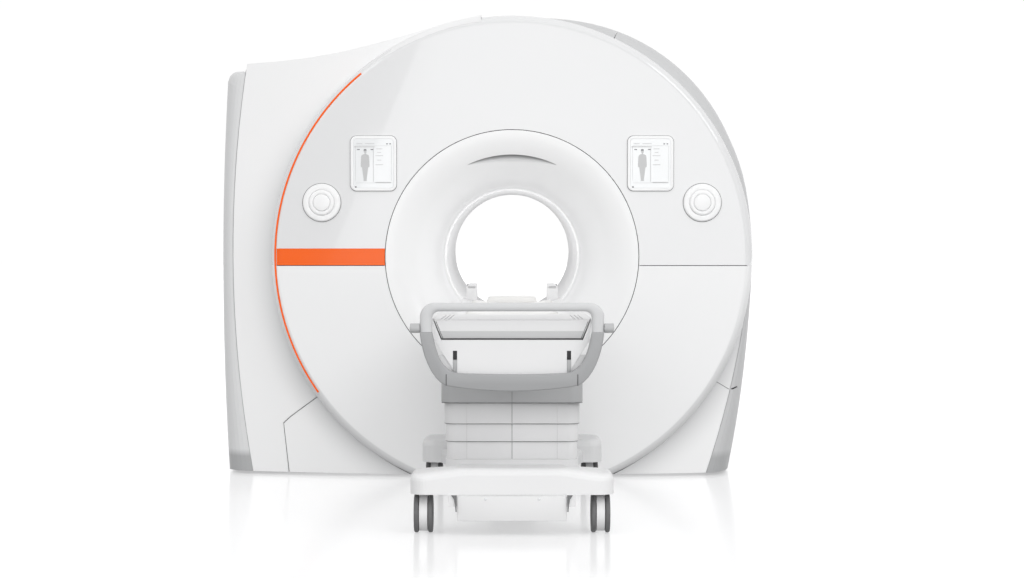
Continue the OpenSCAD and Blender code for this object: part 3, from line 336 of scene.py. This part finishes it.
# Soft shade of the flanks beside the round front, of the column covers under the table, of the base's rear half
reach, rise = ring_part(flank_white, BORE_Z)
beside = ramp(reach, 1.21, 1.068)
shaded(flank_white, beside * beside * ramp(rise, 0.75, -0.55), (0.60, 0.603, 0.608))
under = ramp(stage_white.axis("Z"), 0.31, 0.45)
shaded(stage_white, under * under * (0.55 + 0.45 * ramp(stage_white.axis("X"), -0.1, 0.2)), (0.45, 0.453, 0.458))
shaded(base_white, ramp(base_white.axis("Y"), -2.75, -2.25), (0.71, 0.713, 0.718))

tyre_rubber = tyre()
display_screen = screen()
pad_fabric = pad_cover()

corners = [f"{end}_{side}" for end in ("front", "rear") for side in ("left", "right")]
finishes = [
    (white_cover, ["display_housings", "dial_bezels", "dial_ring_left", "dial_ring_right", "dial_button_left",
                   "dial_button_right"]),
    (flank_white, ["left_flank", "left_service_panel", "right_flank"]),
    (lower_cover, ["front_lower_cover"]),
    (funnel_white, ["front_funnel", "rear_funnel"]),
    (upper_cover, ["front_upper_cover"]),
    (grey_cover, ["left_side_cover", "roof_cover", "rear_cover"]),
    (painted_shade_grey, ["right_side_cover", "top_cover"]),
    (liner_white, ["bore_liner", "bore_bed", "body_coil"]),
    (orange, ["accent_band", "accent_line"]),
    (display_screen, ["display_glasses"]),
    (feet_grey, ["magnet_feet", "dock_socket", "dock_arm"]),
    (steel, ["vacuum_vessel", "helium_vessel"]),
    (fibre, ["suspension_struts"]),
    (copper, ["magnet_coils", "gradient_coil"]),
    (aluminium, ["cold_head", "lift_outer", "lift_mid", "lift_inner"]),
    (base_white, ["trolley_base"]),
    (table_white, ["table_frame", "brake_pedal", "pedal_brackets"]),
    (stage_white, ["stage_upper", "stage_middle", "stage_lower"]),
    (column_grey, ["column_housing"]),
    (table_grey, ["end_beam"]),
    (handle_grey, ["push_handle"]),
    (lever_painted_shade, ["lever_left", "lever_right"]),
    (fork_white, [f"caster_fork_{corner}" for corner in corners]),
    (tyre_rubber, [f"caster_wheels_{corner}" for corner in corners]),
    (composite, ["tabletop"]),
    (socket_white, ["coil_sockets"]),
    (pad_fabric, ["mattress", "head_pad"]),
]
paint_of = {}
for paint, names in finishes:
    for name in names:
        paint_of[name] = paint
        nodes[name].data.materials.clear()
        nodes[name].data.materials.append(paint.material)


# Ways of making pieces

def only(*objects):
    """Selects these objects alone, the last one active."""
    bpy.ops.object.select_all(action="DESELECT")
    for obj in objects:
        obj.select_set(True)
    bpy.context.view_layer.objects.active = objects[-1]


def applied(obj, kind, **settings):
    """Puts a modifier on and applies it."""
    only(obj)
    modifier = obj.modifiers.new(kind.lower(), kind)
    for key, value in settings.items():
        setattr(modifier, key, value)
    bpy.ops.object.modifier_apply(modifier=modifier.name)
    return obj


def rounded(obj, edge, segments=3, angle=32.0):
    """Rounds the sharp edges."""
    return applied(obj, "BEVEL", width=edge, segments=segments, limit_method="ANGLE",
                   angle_limit=math.radians(angle), use_clamp_overlap=True)


def frozen(obj):
    only(obj)
    bpy.ops.object.transform_apply(location=True, rotation=True, scale=True)
    return obj


def block(at, size, edge=0.0, turn=(0.0, 0.0, 0.0)):
    bpy.ops.mesh.primitive_cube_add(size=1.0, location=at, rotation=turn)
    obj = bpy.context.object
    bpy.ops.object.mode_set(mode="EDIT")
    bpy.ops.transform.resize(value=size, orient_type="LOCAL")
    if edge:
        bpy.ops.mesh.bevel(offset=edge, segments=3, affect="EDGES")
    bpy.ops.object.mode_set(mode="OBJECT")
    return frozen(obj)


FACING = {"X": (0.0, math.pi / 2, 0.0), "Y": (math.pi / 2, 0.0, 0.0), "Z": (0.0, 0.0, 0.0)}


def disc(at, radius, deep, edge, axis="Y", corners=48):
    bpy.ops.mesh.primitive_cylinder_add(vertices=corners, radius=radius, depth=deep, location=at,
                                        rotation=FACING[axis])
    return rounded(frozen(bpy.context.object), edge)


def hoop(at, radius, thick, axis="Y", round_by=160):
    bpy.ops.mesh.primitive_torus_add(major_radius=radius, minor_radius=thick, major_segments=round_by,
                                     minor_segments=8, location=at, rotation=FACING[axis])
    return frozen(bpy.context.object)


def joined(parts):
    only(*parts)
    bpy.ops.object.join()
    return bpy.context.object


def woven(rows, name, closed_rows=True, capped=True):
    """A skin over rows of points with equal counts, made from a grid, its ends closed."""
    count, length = len(rows[0]), len(rows)
    wide = count + 1 if closed_rows else count
    bpy.ops.mesh.primitive_grid_add(x_subdivisions=wide - 1, y_subdivisions=length - 1)
    obj = bpy.context.object
    for j, row in enumerate(rows):
        for i in range(wide):
            obj.data.vertices[j * wide + i].co = row[i % count]
    bpy.ops.object.mode_set(mode="EDIT")
    bpy.ops.mesh.select_all(action="SELECT")
    bpy.ops.mesh.remove_doubles(threshold=0.00002)
    if capped:
        bpy.ops.mesh.fill_holes(sides=0)
    bpy.ops.mesh.select_all(action="SELECT")
    bpy.ops.mesh.normals_make_consistent(inside=False)
    bpy.ops.object.mode_set(mode="OBJECT")
    obj.name = name
    return frozen(obj)


def placed(obj, name, paint, body, angle=35.0):
    """Names and paints a finished piece and puts it on its body."""
    only(obj)
    bpy.ops.object.shade_smooth_by_angle(angle=math.radians(angle))
    obj.name = obj.data.name = name
    obj.data.materials.clear()
    obj.data.materials.append(paint.material)
    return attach(obj, body)


def front_of(x, z, *names):
    """Where the named pieces face the front at a point of the front view."""
    shown = [bpy.data.objects.get(name + "_soft") or nodes[name] for name in names]
    hits = [obj.ray_cast(Vector((x, -4.0, z)), Vector((0.0, 1.0, 0.0))) for obj in shown]
    return min(hit[1].y for hit in hits if hit[0])


def patch(rows, lift, deep, *names):
    """A thin skin over the front of the named pieces, from rows of (x, z) points."""
    made = []
    for row in rows:
        face = [(x, front_of(x, z, *names) - lift, z) for x, z in row]
        made.append(face + [(x, y + deep, z) for x, y, z in reversed(face)])
    return woven(made, "patch")


def strip(start, end, half, lift, deep, *names):
    """A thin straight line over the front of the named pieces."""
    way = (Vector(end) - Vector(start)).normalized()
    side = Vector((-way.y, way.x)) * half
    spots = [Vector(start).lerp(Vector(end), i / 10) for i in range(11)]
    return patch([[tuple(spot - side), tuple(spot + side)] for spot in spots], lift, deep, *names)


def softened(node, edge, segments=3, extra=(), angle=32.0):
    """A copy of a CAD piece with joined faces and rounded edges, shown in its place."""
    source = nodes[node]
    obj = bpy.data.objects.new(node + "_soft", source.data.copy())
    bpy.context.scene.collection.objects.link(obj)
    only(obj)
    bpy.ops.mesh.customdata_custom_splitnormals_clear()
    bpy.ops.object.mode_set(mode="EDIT")
    bpy.ops.mesh.select_all(action="SELECT")
    bpy.ops.mesh.remove_doubles(threshold=0.00002)
    bpy.ops.mesh.dissolve_limited(angle_limit=math.radians(0.4))
    bpy.ops.object.mode_set(mode="OBJECT")
    if edge:
        rounded(obj, edge, segments, angle)
    if extra:
        obj = joined([*extra, obj])
    placed(obj, node + "_soft", paint_of[node], source["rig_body"])
    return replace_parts(obj, node)


# Rounded copies of the moulded and turned pieces

for node, edge in [("display_housings", 0.004), ("dial_bezels", 0.003), ("dial_ring_left", 0.003),
                   ("dial_ring_right", 0.003), ("dial_button_left", 0.006), ("dial_button_right", 0.006),
                   ("column_housing", 0.004), ("stage_upper", 0.0018), ("stage_middle", 0.0018),
                   ("stage_lower", 0.0018), ("brake_pedal", 0.004), ("lever_left", 0.003),
                   ("lever_right", 0.003), ("coil_sockets", 0.004), ("dock_socket", 0.004),
                   ("tabletop", 0.0), ("front_funnel", 0.0), ("rear_funnel", 0.0), ("end_beam", 0.005)]:
    softened(node, edge)


# Push handle: one tube that widens from the top bar into the two posts

def quarter(x, z, radius, steps, start, end):
    return [(x + radius * math.cos(math.radians(start + (end - start) * i / steps)),
             z + radius * math.sin(math.radians(start + (end - start) * i / steps)))
            for i in range(steps + 1)]


def push_handle():
    low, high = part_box("end_beam")[1].z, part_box("push_handle")[1].z
    middle = (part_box("push_handle")[0].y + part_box("push_handle")[1].y) / 2
    outer = [(-0.329, low), (-0.329, high - 0.062)] + quarter(-0.277, high - 0.052, 0.052, 14, 180, 90)
    inner = [(-0.284, low), (-0.284, high - 0.062)] + quarter(-0.260, high - 0.055, 0.024, 14, 180, 90)
    outer += [(-x, z) for x, z in reversed(outer)]
    inner += [(-x, z) for x, z in reversed(inner)]
    rows = []
    for (ox, oz), (ix, iz) in zip(outer, inner):
        row = []
        for k in range(20):
            turn = 2 * math.pi * k / 20
            across = math.copysign(abs(math.cos(turn)) ** 0.8, math.cos(turn)) / 2
            deep = math.copysign(abs(math.sin(turn)) ** 0.8, math.sin(turn)) * 0.015
            row.append(((ox + ix) / 2 + (ox - ix) * across, middle + deep, (oz + iz) / 2 + (oz - iz) * across))
        rows.append(row)
    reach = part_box("push_handle")[1].x
    pins = [disc((side * (reach + 0.325) / 2, middle, 0.752), 0.006, reach - 0.325, 0.001, "X", 24)
            for side in (-1, 1)]
    return joined(pins + [woven(rows, "handle_loop")])


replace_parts(placed(push_handle(), "handle_tube", handle_grey, "table"), "push_handle")
placed(joined([block((side * 0.2345, -3.1898, 0.5685), (0.0022, 0.003, 0.040)) for side in (-1, 1)]),
       "beam_seams", dark_rubber_and_shadow, "table")
placed(joined([block((side * 0.3065, -3.170, 0.738), (0.0446, 0.0302, 0.0016)) for side in (-1, 1)]),
       "handle_seams", column_grey, "table")


# Pads with a crowned top and a welt

def trough_floor(x):
    """Height of the tabletop's hollow at x."""
    radius = (0.200 ** 2 + 0.029 ** 2) / (2 * 0.029)
    return 0.768 + radius - math.sqrt(radius * radius - x * x)


def pad(half, foot, head, thick, flat, seams):
    """Foam pad lying in the hollow. flat is how far the top keeps level across it."""
    across, along = 40, 150
    rows = []
    for j in range(along + 1):
        v = 2 * j / along - 1
        y = (foot + head) / 2 + (head - foot) / 2 * v
        top, under = [], []
        for i in range(across + 1):
            u = 2 * i / across - 1
            x = half * u
            fall = (max(0.0, 1 - abs(u) ** 7) * max(0.0, 1 - abs(v) ** (26 if head - foot > 1 else 8))) ** 0.36
            dip = sum(0.0035 * math.exp(-((y - seam) / 0.012) ** 2) for seam in seams)
            low = trough_floor(x) + 0.0006
            high = low + thick if not flat else 0.768 + thick
            side = 0.35 * (high - low)
            top.append((x, y, low + side + (high - low - side - dip) * fall))
            under.append((x, y, low + side * (1 - fall)))
        rows.append(top + under[-2:0:-1])
    return woven(rows, "pad")


for node, name, thick, flat in [("mattress", "mattress_pad", 0.0182, False),
                                ("head_pad", "head_cushion", 0.0455, True)]:
    low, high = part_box(node)
    seams = [] if flat else [low.y + (high.y - low.y) * share for share in (0.25, 0.5, 0.75)]
    shape = pad(high.x - 0.0005, low.y + 0.0005, high.y - 0.0005, thick, flat, seams)
    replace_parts(placed(shape, name, pad_fabric, "tabletop", 60.0), node)


# Displays and dials: plain marks and a body outline, no lettering; thin dark lines painted as the shadow round the
# display housings, dial bezels and knobs

DISPLAY_AT, DIAL_AT = (0.612, 1.392), (0.8411, 1.219)


def plate(outline, middle, face, rise):
    """A thin raised shape from (height, left, right) lines, top to bottom."""
    return woven([[(middle + left, face, rise + z), (middle + right, face, rise + z),
                   (middle + right, face + 0.0006, rise + z), (middle + left, face + 0.0006, rise + z)]
                  for z, left, right in outline], "plate")


def display_page(side):
    """Raised ink on one display's glass: dark, pale and the body."""
    middle, rise, face = side * DISPLAY_AT[0], DISPLAY_AT[1], -1.2041

    def mark(x, z, wide, tall):
        return block((middle + x, face, rise + z), (wide, 0.0006, tall))

    def shape(lines):
        return plate([(z, x - half, x + half) for z, x, half in lines], middle, face - 0.0003, rise)

    dark = [mark(x, 0.086, 0.007, 0.0045) for x in (0.060, 0.074)]
    dark += [mark(x, 0.061, 0.012, 0.004) for x in (-0.066, -0.006)]
    dark += [shape([(0.063, -0.0365, 0.003), (0.061, -0.0365, 0.0058), (0.056, -0.0365, 0.0064)]),
             mark(-0.078, -0.104, 0.007, 0.006)]
    pale = [mark(-0.062, 0.087, 0.026, 0.003), mark(-0.016, 0.087, 0.040, 0.003), mark(-0.040, 0.073, 0.090, 0.004)]
    pale += [mark(0.026, z, wide, 0.003) for z, wide in ((0.064, 0.026), (0.048, 0.016), (0.034, 0.034),
                                                         (0.014, 0.018), (-0.006, 0.034))]
    pale += [mark(0.0, 0.0775, 0.156, 0.0012), mark(0.0, -0.086, 0.156, 0.0012), mark(0.044, -0.084, 0.070, 0.004),
             mark(-0.0795, 0.0, 0.0012, 0.155), mark(0.0, -0.006, 0.0030, 0.150), mark(0.0795, 0.0, 0.0012, 0.155)]
    body = [shape([(0.0555, -0.0365, 0.0062), (0.049, -0.0365, 0.0056), (0.0455, -0.0365, 0.0028),
                   (0.041, -0.0365, 0.0030), (0.039, -0.0365, 0.010), (0.036, -0.0365, 0.0155),
                   (0.028, -0.0365, 0.0175), (0.008, -0.0365, 0.0185), (-0.013, -0.0365, 0.0195),
                   (-0.017, -0.0365, 0.0165), (-0.018, -0.0365, 0.0135), (-0.045, -0.0365, 0.0100),
                   (-0.072, -0.0365, 0.0064), (-0.078, -0.0365, 0.0075)])]
    return dark, pale, body


def frame_line(middle, rise, wide, tall, radius, y, thick):
    """A thin bead round a rounded rectangle facing front."""
    path = []
    for x, z, start in ((1, 1, 0), (-1, 1, 90), (-1, -1, 180), (1, -1, 270)):
        path += quarter(x * (wide / 2 - radius), z * (tall / 2 - radius), radius, 10, start, start + 90)
    rows = []
    for k in range(8):
        out, deep = thick * math.cos(math.pi * k / 4), thick * math.sin(math.pi * k / 4)
        rows.append([(middle + x * (1 + 2 * out / wide), y + deep, rise + z * (1 + 2 * out / tall)) for x, z in path])
    return woven(rows + rows[:1], "bead", capped=False)


for side, word in ((-1, "left"), (1, "right")):
    dark, pale, body = display_page(side)
    placed(joined(dark), "display_marks_" + word, ink_dark, "scanner")
    placed(joined(pale), "display_lines_" + word, ink_pale, "scanner")
    placed(joined(body), "display_figure_" + word, ink_grey, "scanner")
    bead = frame_line(side * DISPLAY_AT[0], DISPLAY_AT[1], 0.2036, 0.2436, 0.028, -1.1958, 0.0016)
    dial = (side * DIAL_AT[0], -1.1956, DIAL_AT[1])
    knob = (dial[0], -1.2051, dial[2])
    # Painted shadow lines round the display housing, the dial's bezel and its knob
    placed(joined([hoop(dial, 0.0848, 0.0014, round_by=96), hoop(knob, 0.0397, 0.0010, round_by=64), bead]),
           "control_shadow_lines_" + word, shadow_line_grey, "scanner")


# Gaskets in the seams of the front covers

placed(hoop((0.0, -1.1925, 0.980), 0.5613, 0.0016), "funnel_gasket", dark_rubber_and_shadow, "scanner")
placed(joined([block((side * 0.802, -1.1925, 0.9405), (0.474, 0.003, 0.0028)) for side in (-1, 1)]),
       "split_gasket", dark_rubber_and_shadow, "scanner")


# Fillers of the joints between the covers, which follow their bowed fronts

AXIS_Z, DISC_R, FLANK_H, FLANK_R = BORE_Z, 1.068, 1.190, 4.300


def flank_front(x):
    return FLANK_R - FLANK_H - math.sqrt(FLANK_R * FLANK_R - x * x)


def left_joint(z):
    return 5.372 - 1.256 - math.sqrt(5.372 ** 2 - (z - AXIS_Z - 0.013) ** 2)


def right_joint(z):
    return -3.0623 + math.sqrt(4.1534 ** 2 - (z - AXIS_Z - 0.3776) ** 2)


def filler(lines, recess, deep):
    """Fills between x and x of each (z, x, x) line, a little behind the flank's bowed front."""
    return woven([[(x, flank_front(x) + recess, z) for x in (first, last)]
                  + [(x, flank_front(x) + recess + deep, z) for x in (last, first)]
                  for z, first, last in lines], "filler")


def evenly(first, last, steps):
    return [first + (last - first) * i / steps for i in range(steps + 1)]


heights = evenly(0.016, 1.813, 60)
left_fill = filler([(z, left_joint(z) - 0.0027, left_joint(z) - 0.0003) for z in heights], 0.0012, 0.006)
heights = evenly(0.016, 0.655, 30)
right_fill = filler([(z, right_joint(z) + 0.0003, right_joint(z) + 0.0027) for z in heights], 0.0012, 0.006)
placed(joined([left_fill, right_fill]), "joint_fillers", joint_grey, "scanner")

# White tip of the right flank, and the fillet between the round front and the crest of the left body
heights = evenly(0.657, 0.802, 24)
placed(filler([(z, math.sqrt(DISC_R ** 2 - (z - AXIS_Z) ** 2) + 0.0004, right_joint(z) + 0.0026) for z in heights],
              0.0, 0.010), "right_flank_tip", flank_white, "scanner")
FILLET_IN, FILLET_OUT, FILLET_Y, FILLET_FROM, FILLET_TO = 1.046, 1.0694, -1.1914, 97.4, 129.6
rows = []
for i in range(31):
    turn = math.radians(FILLET_FROM + (FILLET_TO - FILLET_FROM) * i / 30)
    row = []
    for share in (0.0, 0.25, 0.5, 0.75, 1.0):
        radius = FILLET_IN + (FILLET_OUT - FILLET_IN) * share
        front = FILLET_Y + (flank_front(FILLET_OUT * math.cos(turn)) - 0.0003 - FILLET_Y) * share ** 1.6
        row.append((radius * math.cos(turn), front, AXIS_Z + radius * math.sin(turn)))
    rows.append(row + [(x, y + 0.008, z) for x, y, z in reversed(row)])
# The fillet has the bore liner's duller white, darker than the covers beside it: painted shade
placed(woven(rows, "fillet"), "crest_fillet", liner_white, "scanner")

# Orange band's end on the rounded rim, up to the rim line
heights = evenly(0.9423, 1.0157, 12)
BAND_START, RIM_LINE_R = 1.0285, 1.0446
rows = [[(-BAND_START - (math.sqrt(RIM_LINE_R ** 2 - (z - AXIS_Z) ** 2) - BAND_START) * share, z)
         for share in (0.0, 0.3, 0.6, 0.8, 1.0)] for z in heights]
placed(patch(rows, 0.0004, 0.0016, "accent_band", "front_upper_cover", "front_lower_cover"),
       "band_end", orange, "scanner")

# Joint round the service panel, joint across the right flank and the dark step beside it
turns = [(0.014, -0.9997), (0.2311, -1.0248), (0.2607, -0.9934), (0.3515, -0.8704)]
lines = []
for (low, first), (high, last) in zip(turns, turns[1:]):
    wide = 0.0012 * math.hypot(high - low, last - first) / (high - low)
    for i in range(13):
        x = first + (last - first) * i / 12
        lines.append((low + (high - low) * i / 12 + 0.00005 * (i == 0), x - wide, x + wide))
placed(filler(lines, -0.0004, 0.0012), "panel_joint", seam_grey, "scanner")
placed(strip((0.913, 0.4200), (0.9725, 0.3845), 0.0014, 0.0004, 0.0012, "right_flank"),
       "flank_joint", seam_grey, "scanner")
placed(strip((0.9835, 0.3850), (1.012, 0.3945), 0.0032, 0.0004, 0.0012, "right_side_cover"),
       "side_step", dark_rubber_and_shadow, "scanner")

# Table end: dark strips painted as the shadow under and beside the tabletop's foot, liners of the two slots
placed(joined([block((0.0, -3.1375, 0.7118), (0.505, 0.006, 0.0042), 0.0008)]
              + [strip((side * 0.2725, 0.776), (side * 0.2482, 0.7150), 0.0008, 0.0005, 0.0015, "tabletop")
                 for side in (-1, 1)]), "foot_shadow_strips", dark_rubber_and_shadow, "tabletop")
placed(joined([block((side * 0.204, -3.1465, 0.654), (0.0146, 0.004, 0.0316), 0.001) for side in (-1, 1)]),
       "slot_inserts", dark_rubber_and_shadow, "table")
placed(joined([block((side * 0.204, -3.1478, 0.6118), (0.0144, 0.002, 0.0516), 0.0006) for side in (-1, 1)]),
       "slot_strips", column_grey, "table")

# Frame corners behind the end beam
CORNER_IN, CORNER_Y, CORNER_THICK = 0.190, -3.1440, 0.002
corner_rows = ((0.575, 0.262), (0.600, 0.268), (0.655, 0.281))
placed(joined([woven([[(side * x, CORNER_Y + back, z)
                       for x, back in ((CORNER_IN, 0.0), (wide, 0.0), (wide, CORNER_THICK), (CORNER_IN, CORNER_THICK))]
                      for z, wide in corner_rows], "corner") for side in (-1, 1)]),
       "frame_corners", table_white, "table")

# Column covers: joint down the middle and a fold line on both sides
covers = [("column_housing", "table"), ("stage_upper", "stage_upper"), ("stage_middle", "stage_middle"),
          ("stage_lower", "trolley")]
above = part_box("end_beam")[0].z
for name, body in covers:
    low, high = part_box(name)[0], above
    front, middle, tall = low.y, (low.z + high) / 2, high - low.z - 0.004
    placed(block((0.0, front, middle), (0.0018, 0.0008, tall)), name + "_joint", seam_grey, body)
    if name != "column_housing":
        placed(joined([block((side * 0.173, front, middle), (0.0014, 0.0005, tall)) for side in (-1, 1)]),
               name + "_folds", fold_grey, body)
    above = low.z

# Dark lines where one cover slides into the next, round the covers' corners
COLUMN_ROUND = 0.050
for name, body in covers[:3]:
    low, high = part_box(name)
    wide, front = high.x - COLUMN_ROUND, low.y + COLUMN_ROUND
    path = [(x + side * sweep[0], front - sweep[1], sweep)
            for side, x in ((-1, -wide), (1, wide)) for sweep in
            [(COLUMN_ROUND * math.sin(a), COLUMN_ROUND * math.cos(a))
             for a in (math.pi / 20 * i for i in (range(10, -1, -1) if side < 0 else range(11)))]]
    rows = []
    for x, y, (out, forward) in path:
        way = Vector((math.copysign(out, x), -forward)) / COLUMN_ROUND
        near, far = Vector((x, y)) - way * 0.0004, Vector((x, y)) - way * 0.0034
        rows.append([(near.x, near.y, low.z - 0.0001), (near.x, near.y, low.z - 0.0017),
                     (far.x, far.y, low.z - 0.0017), (far.x, far.y, low.z - 0.0001)])
    placed(woven(rows, "lip"), name + "_lip", seam_grey, body)

# Pedal: plain cover over its hub, gussets beside it, screws
placed(block((0.0, -3.0996, 0.0972), (0.394, 0.0028, 0.0900), 0.0012),
       "pedal_cover", table_white, "pedal")
GUSSET_IN, GUSSET_Y, GUSSET_THICK = 0.1995, -3.1095, 0.003
gusset_rows = ((0.1465, 0.219), (0.132, 0.2095), (0.112, 0.2055), (0.086, 0.2035))
gussets = [woven([[(side * x, GUSSET_Y + back, z)
                   for x, back in ((GUSSET_IN, 0.0), (far, 0.0), (far, GUSSET_THICK), (GUSSET_IN, GUSSET_THICK))]
                  for z, far in gusset_rows], "gusset") for side in (-1, 1)]
placed(joined(gussets), "pedal_gussets", gusset_grey, "trolley")
placed(joined([disc((x, -3.1012, 0.132), 0.0050, 0.0016, 0.0006, "Y", 24) for x in (-0.095, 0.098)]),
       "pedal_screws", steel, "pedal")

# Dark plug mouths on the coil sockets
placed(joined([block((side * 0.1875, -1.320, 0.858), (0.018, 0.010, 0.006), 0.001) for side in (-1, 1)]),
       "socket_mouths", dark_rubber_and_shadow, "tabletop")

# Rear cover: two banks of louvres
placed(joined([block((side * 0.66, 1.0005, 1.36 + 0.03 * i), (0.34, 0.004, 0.012), 0.0018)
               for side in (-1, 1) for i in range(8)]),
       "rear_louvres", dark_rubber_and_shadow, "scanner")


# Camera, floor and light

FOCAL_PIXELS = 2300.0
FRAME_PIXELS = 1024.0
SENSOR_MM = 36.0
bpy.ops.object.camera_add(location=(0.0, -11.37, 1.12), rotation=(math.radians(90 - 1.594), 0.0, 0.0))
camera = bpy.context.object
camera.data.sensor_width = SENSOR_MM
camera.data.lens = FOCAL_PIXELS / FRAME_PIXELS * SENSOR_MM
camera.data.clip_end = 200.0
bpy.context.scene.camera = camera

bpy.ops.object.select_all(action="DESELECT")
bpy.ops.mesh.primitive_plane_add(size=120.0, location=(0.0, 0.0, -0.0005))
floor = bpy.context.object
floor.name = "floor"
floor_paint = Paint("pale_floor", Roughness=0.16, IOR=1.18, Emission_Strength=0.53)
floor_cloud = floor_paint.noise(0.7, 3.0)
floor_paint.colour(floor_paint.mix(floor_cloud, rgb(0.53, 0.53, 0.533), rgb(0.55, 0.55, 0.55)))
away = floor_paint.node("ShaderNodeVectorMath", {"operation": "LENGTH"}, {0: floor_paint.place}, out="Value")
floor_paint.feed(floor_paint.shader.inputs["Emission Color"],
                 floor_paint.mix(away.above(6.0, 4.0), grey(0.78), grey(1.0)))
floor.data.materials.append(floor_paint.material)

# White studio dome that only the camera and the reflections see
bpy.ops.mesh.primitive_uv_sphere_add(segments=64, ring_count=32, radius=55.0)
dome = bpy.context.object
dome.name = "studio_dome"
dome_paint = Paint("studio_white", Roughness=1.0, Emission_Strength=1.0)
dome_paint.colour(rgb(0.0, 0.0, 0.0))
dome_paint.feed(dome_paint.shader.inputs["Emission Color"], rgb(1.0, 1.0, 1.0))
dome.data.materials.append(dome_paint.material)
dome.visible_diffuse = dome.visible_shadow = dome.visible_transmission = floor.visible_diffuse = False
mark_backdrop(floor, dome)

# Soft light that is strongest from the front and overhead
world = bpy.data.worlds.new("studio")
world.use_nodes = True
sky = world.node_tree.nodes
way = sky.new("ShaderNodeTexCoord")
lean = sky.new("ShaderNodeVectorMath")
lean.operation = "DOT_PRODUCT"
lean.inputs[1].default_value = (0.10, -0.62, 0.78)
fade = sky.new("ShaderNodeMapRange")
for socket, value in (("From Min", -1.0), ("From Max", 1.0), ("To Min", 0.10), ("To Max", 1.02)):
    fade.inputs[socket].default_value = value
world.node_tree.links.new(way.outputs["Generated"], lean.inputs[0])
world.node_tree.links.new(lean.outputs["Value"], fade.inputs["Value"])
world.node_tree.links.new(fade.outputs[0], sky["Background"].inputs["Strength"])
sky["Background"].inputs["Color"].default_value = rgb(1.0, 1.0, 1.0)
bpy.context.scene.world = world
bpy.context.scene.view_settings.view_transform = "Standard"


def soft_light(name, at, aim, wide, tall, watts, roll=0.0):
    turn = (Vector(aim) - Vector(at)).to_track_quat("-Z", "Y").to_euler()
    bpy.ops.object.light_add(type="AREA", location=at, rotation=turn)
    light = bpy.context.object
    light.name = name
    light.rotation_euler.rotate_axis("Z", roll)
    light.data.shape = "RECTANGLE"
    light.data.size, light.data.size_y = wide, tall
    light.data.energy = watts
    light.visible_camera = False
    return light


soft_light("key_light", (5.0, -7.5, 5.5), (0.0, -1.0, 0.9), 4.0, 4.0, 125.0)
soft_light("sheen_card", (0.74, -11.6, 1.30), (0.74, 0.0, 1.30), 4.0, 7.0, 122.0, math.radians(-22.8))
soft_light("fill_light", (-5.5, -6.5, 6.0), (-1.0, -1.0, 1.2), 3.0, 3.0, 42.0)

# Lamps in the bore
for name, y, watts in (("mouth_lamp", -1.02, 0.80), ("bore_lamp", -0.20, 0.9), ("rear_lamp", 0.45, 0.6)):
    bpy.ops.object.light_add(type="POINT", location=(0.0, y, 1.02))
    lamp = bpy.context.object
    lamp.name = name
    lamp.data.energy, lamp.data.shadow_soft_size = watts, 0.22
    lamp.visible_camera = False

# Size of the whole model with the new pieces, floor and dome left out
low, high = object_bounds()
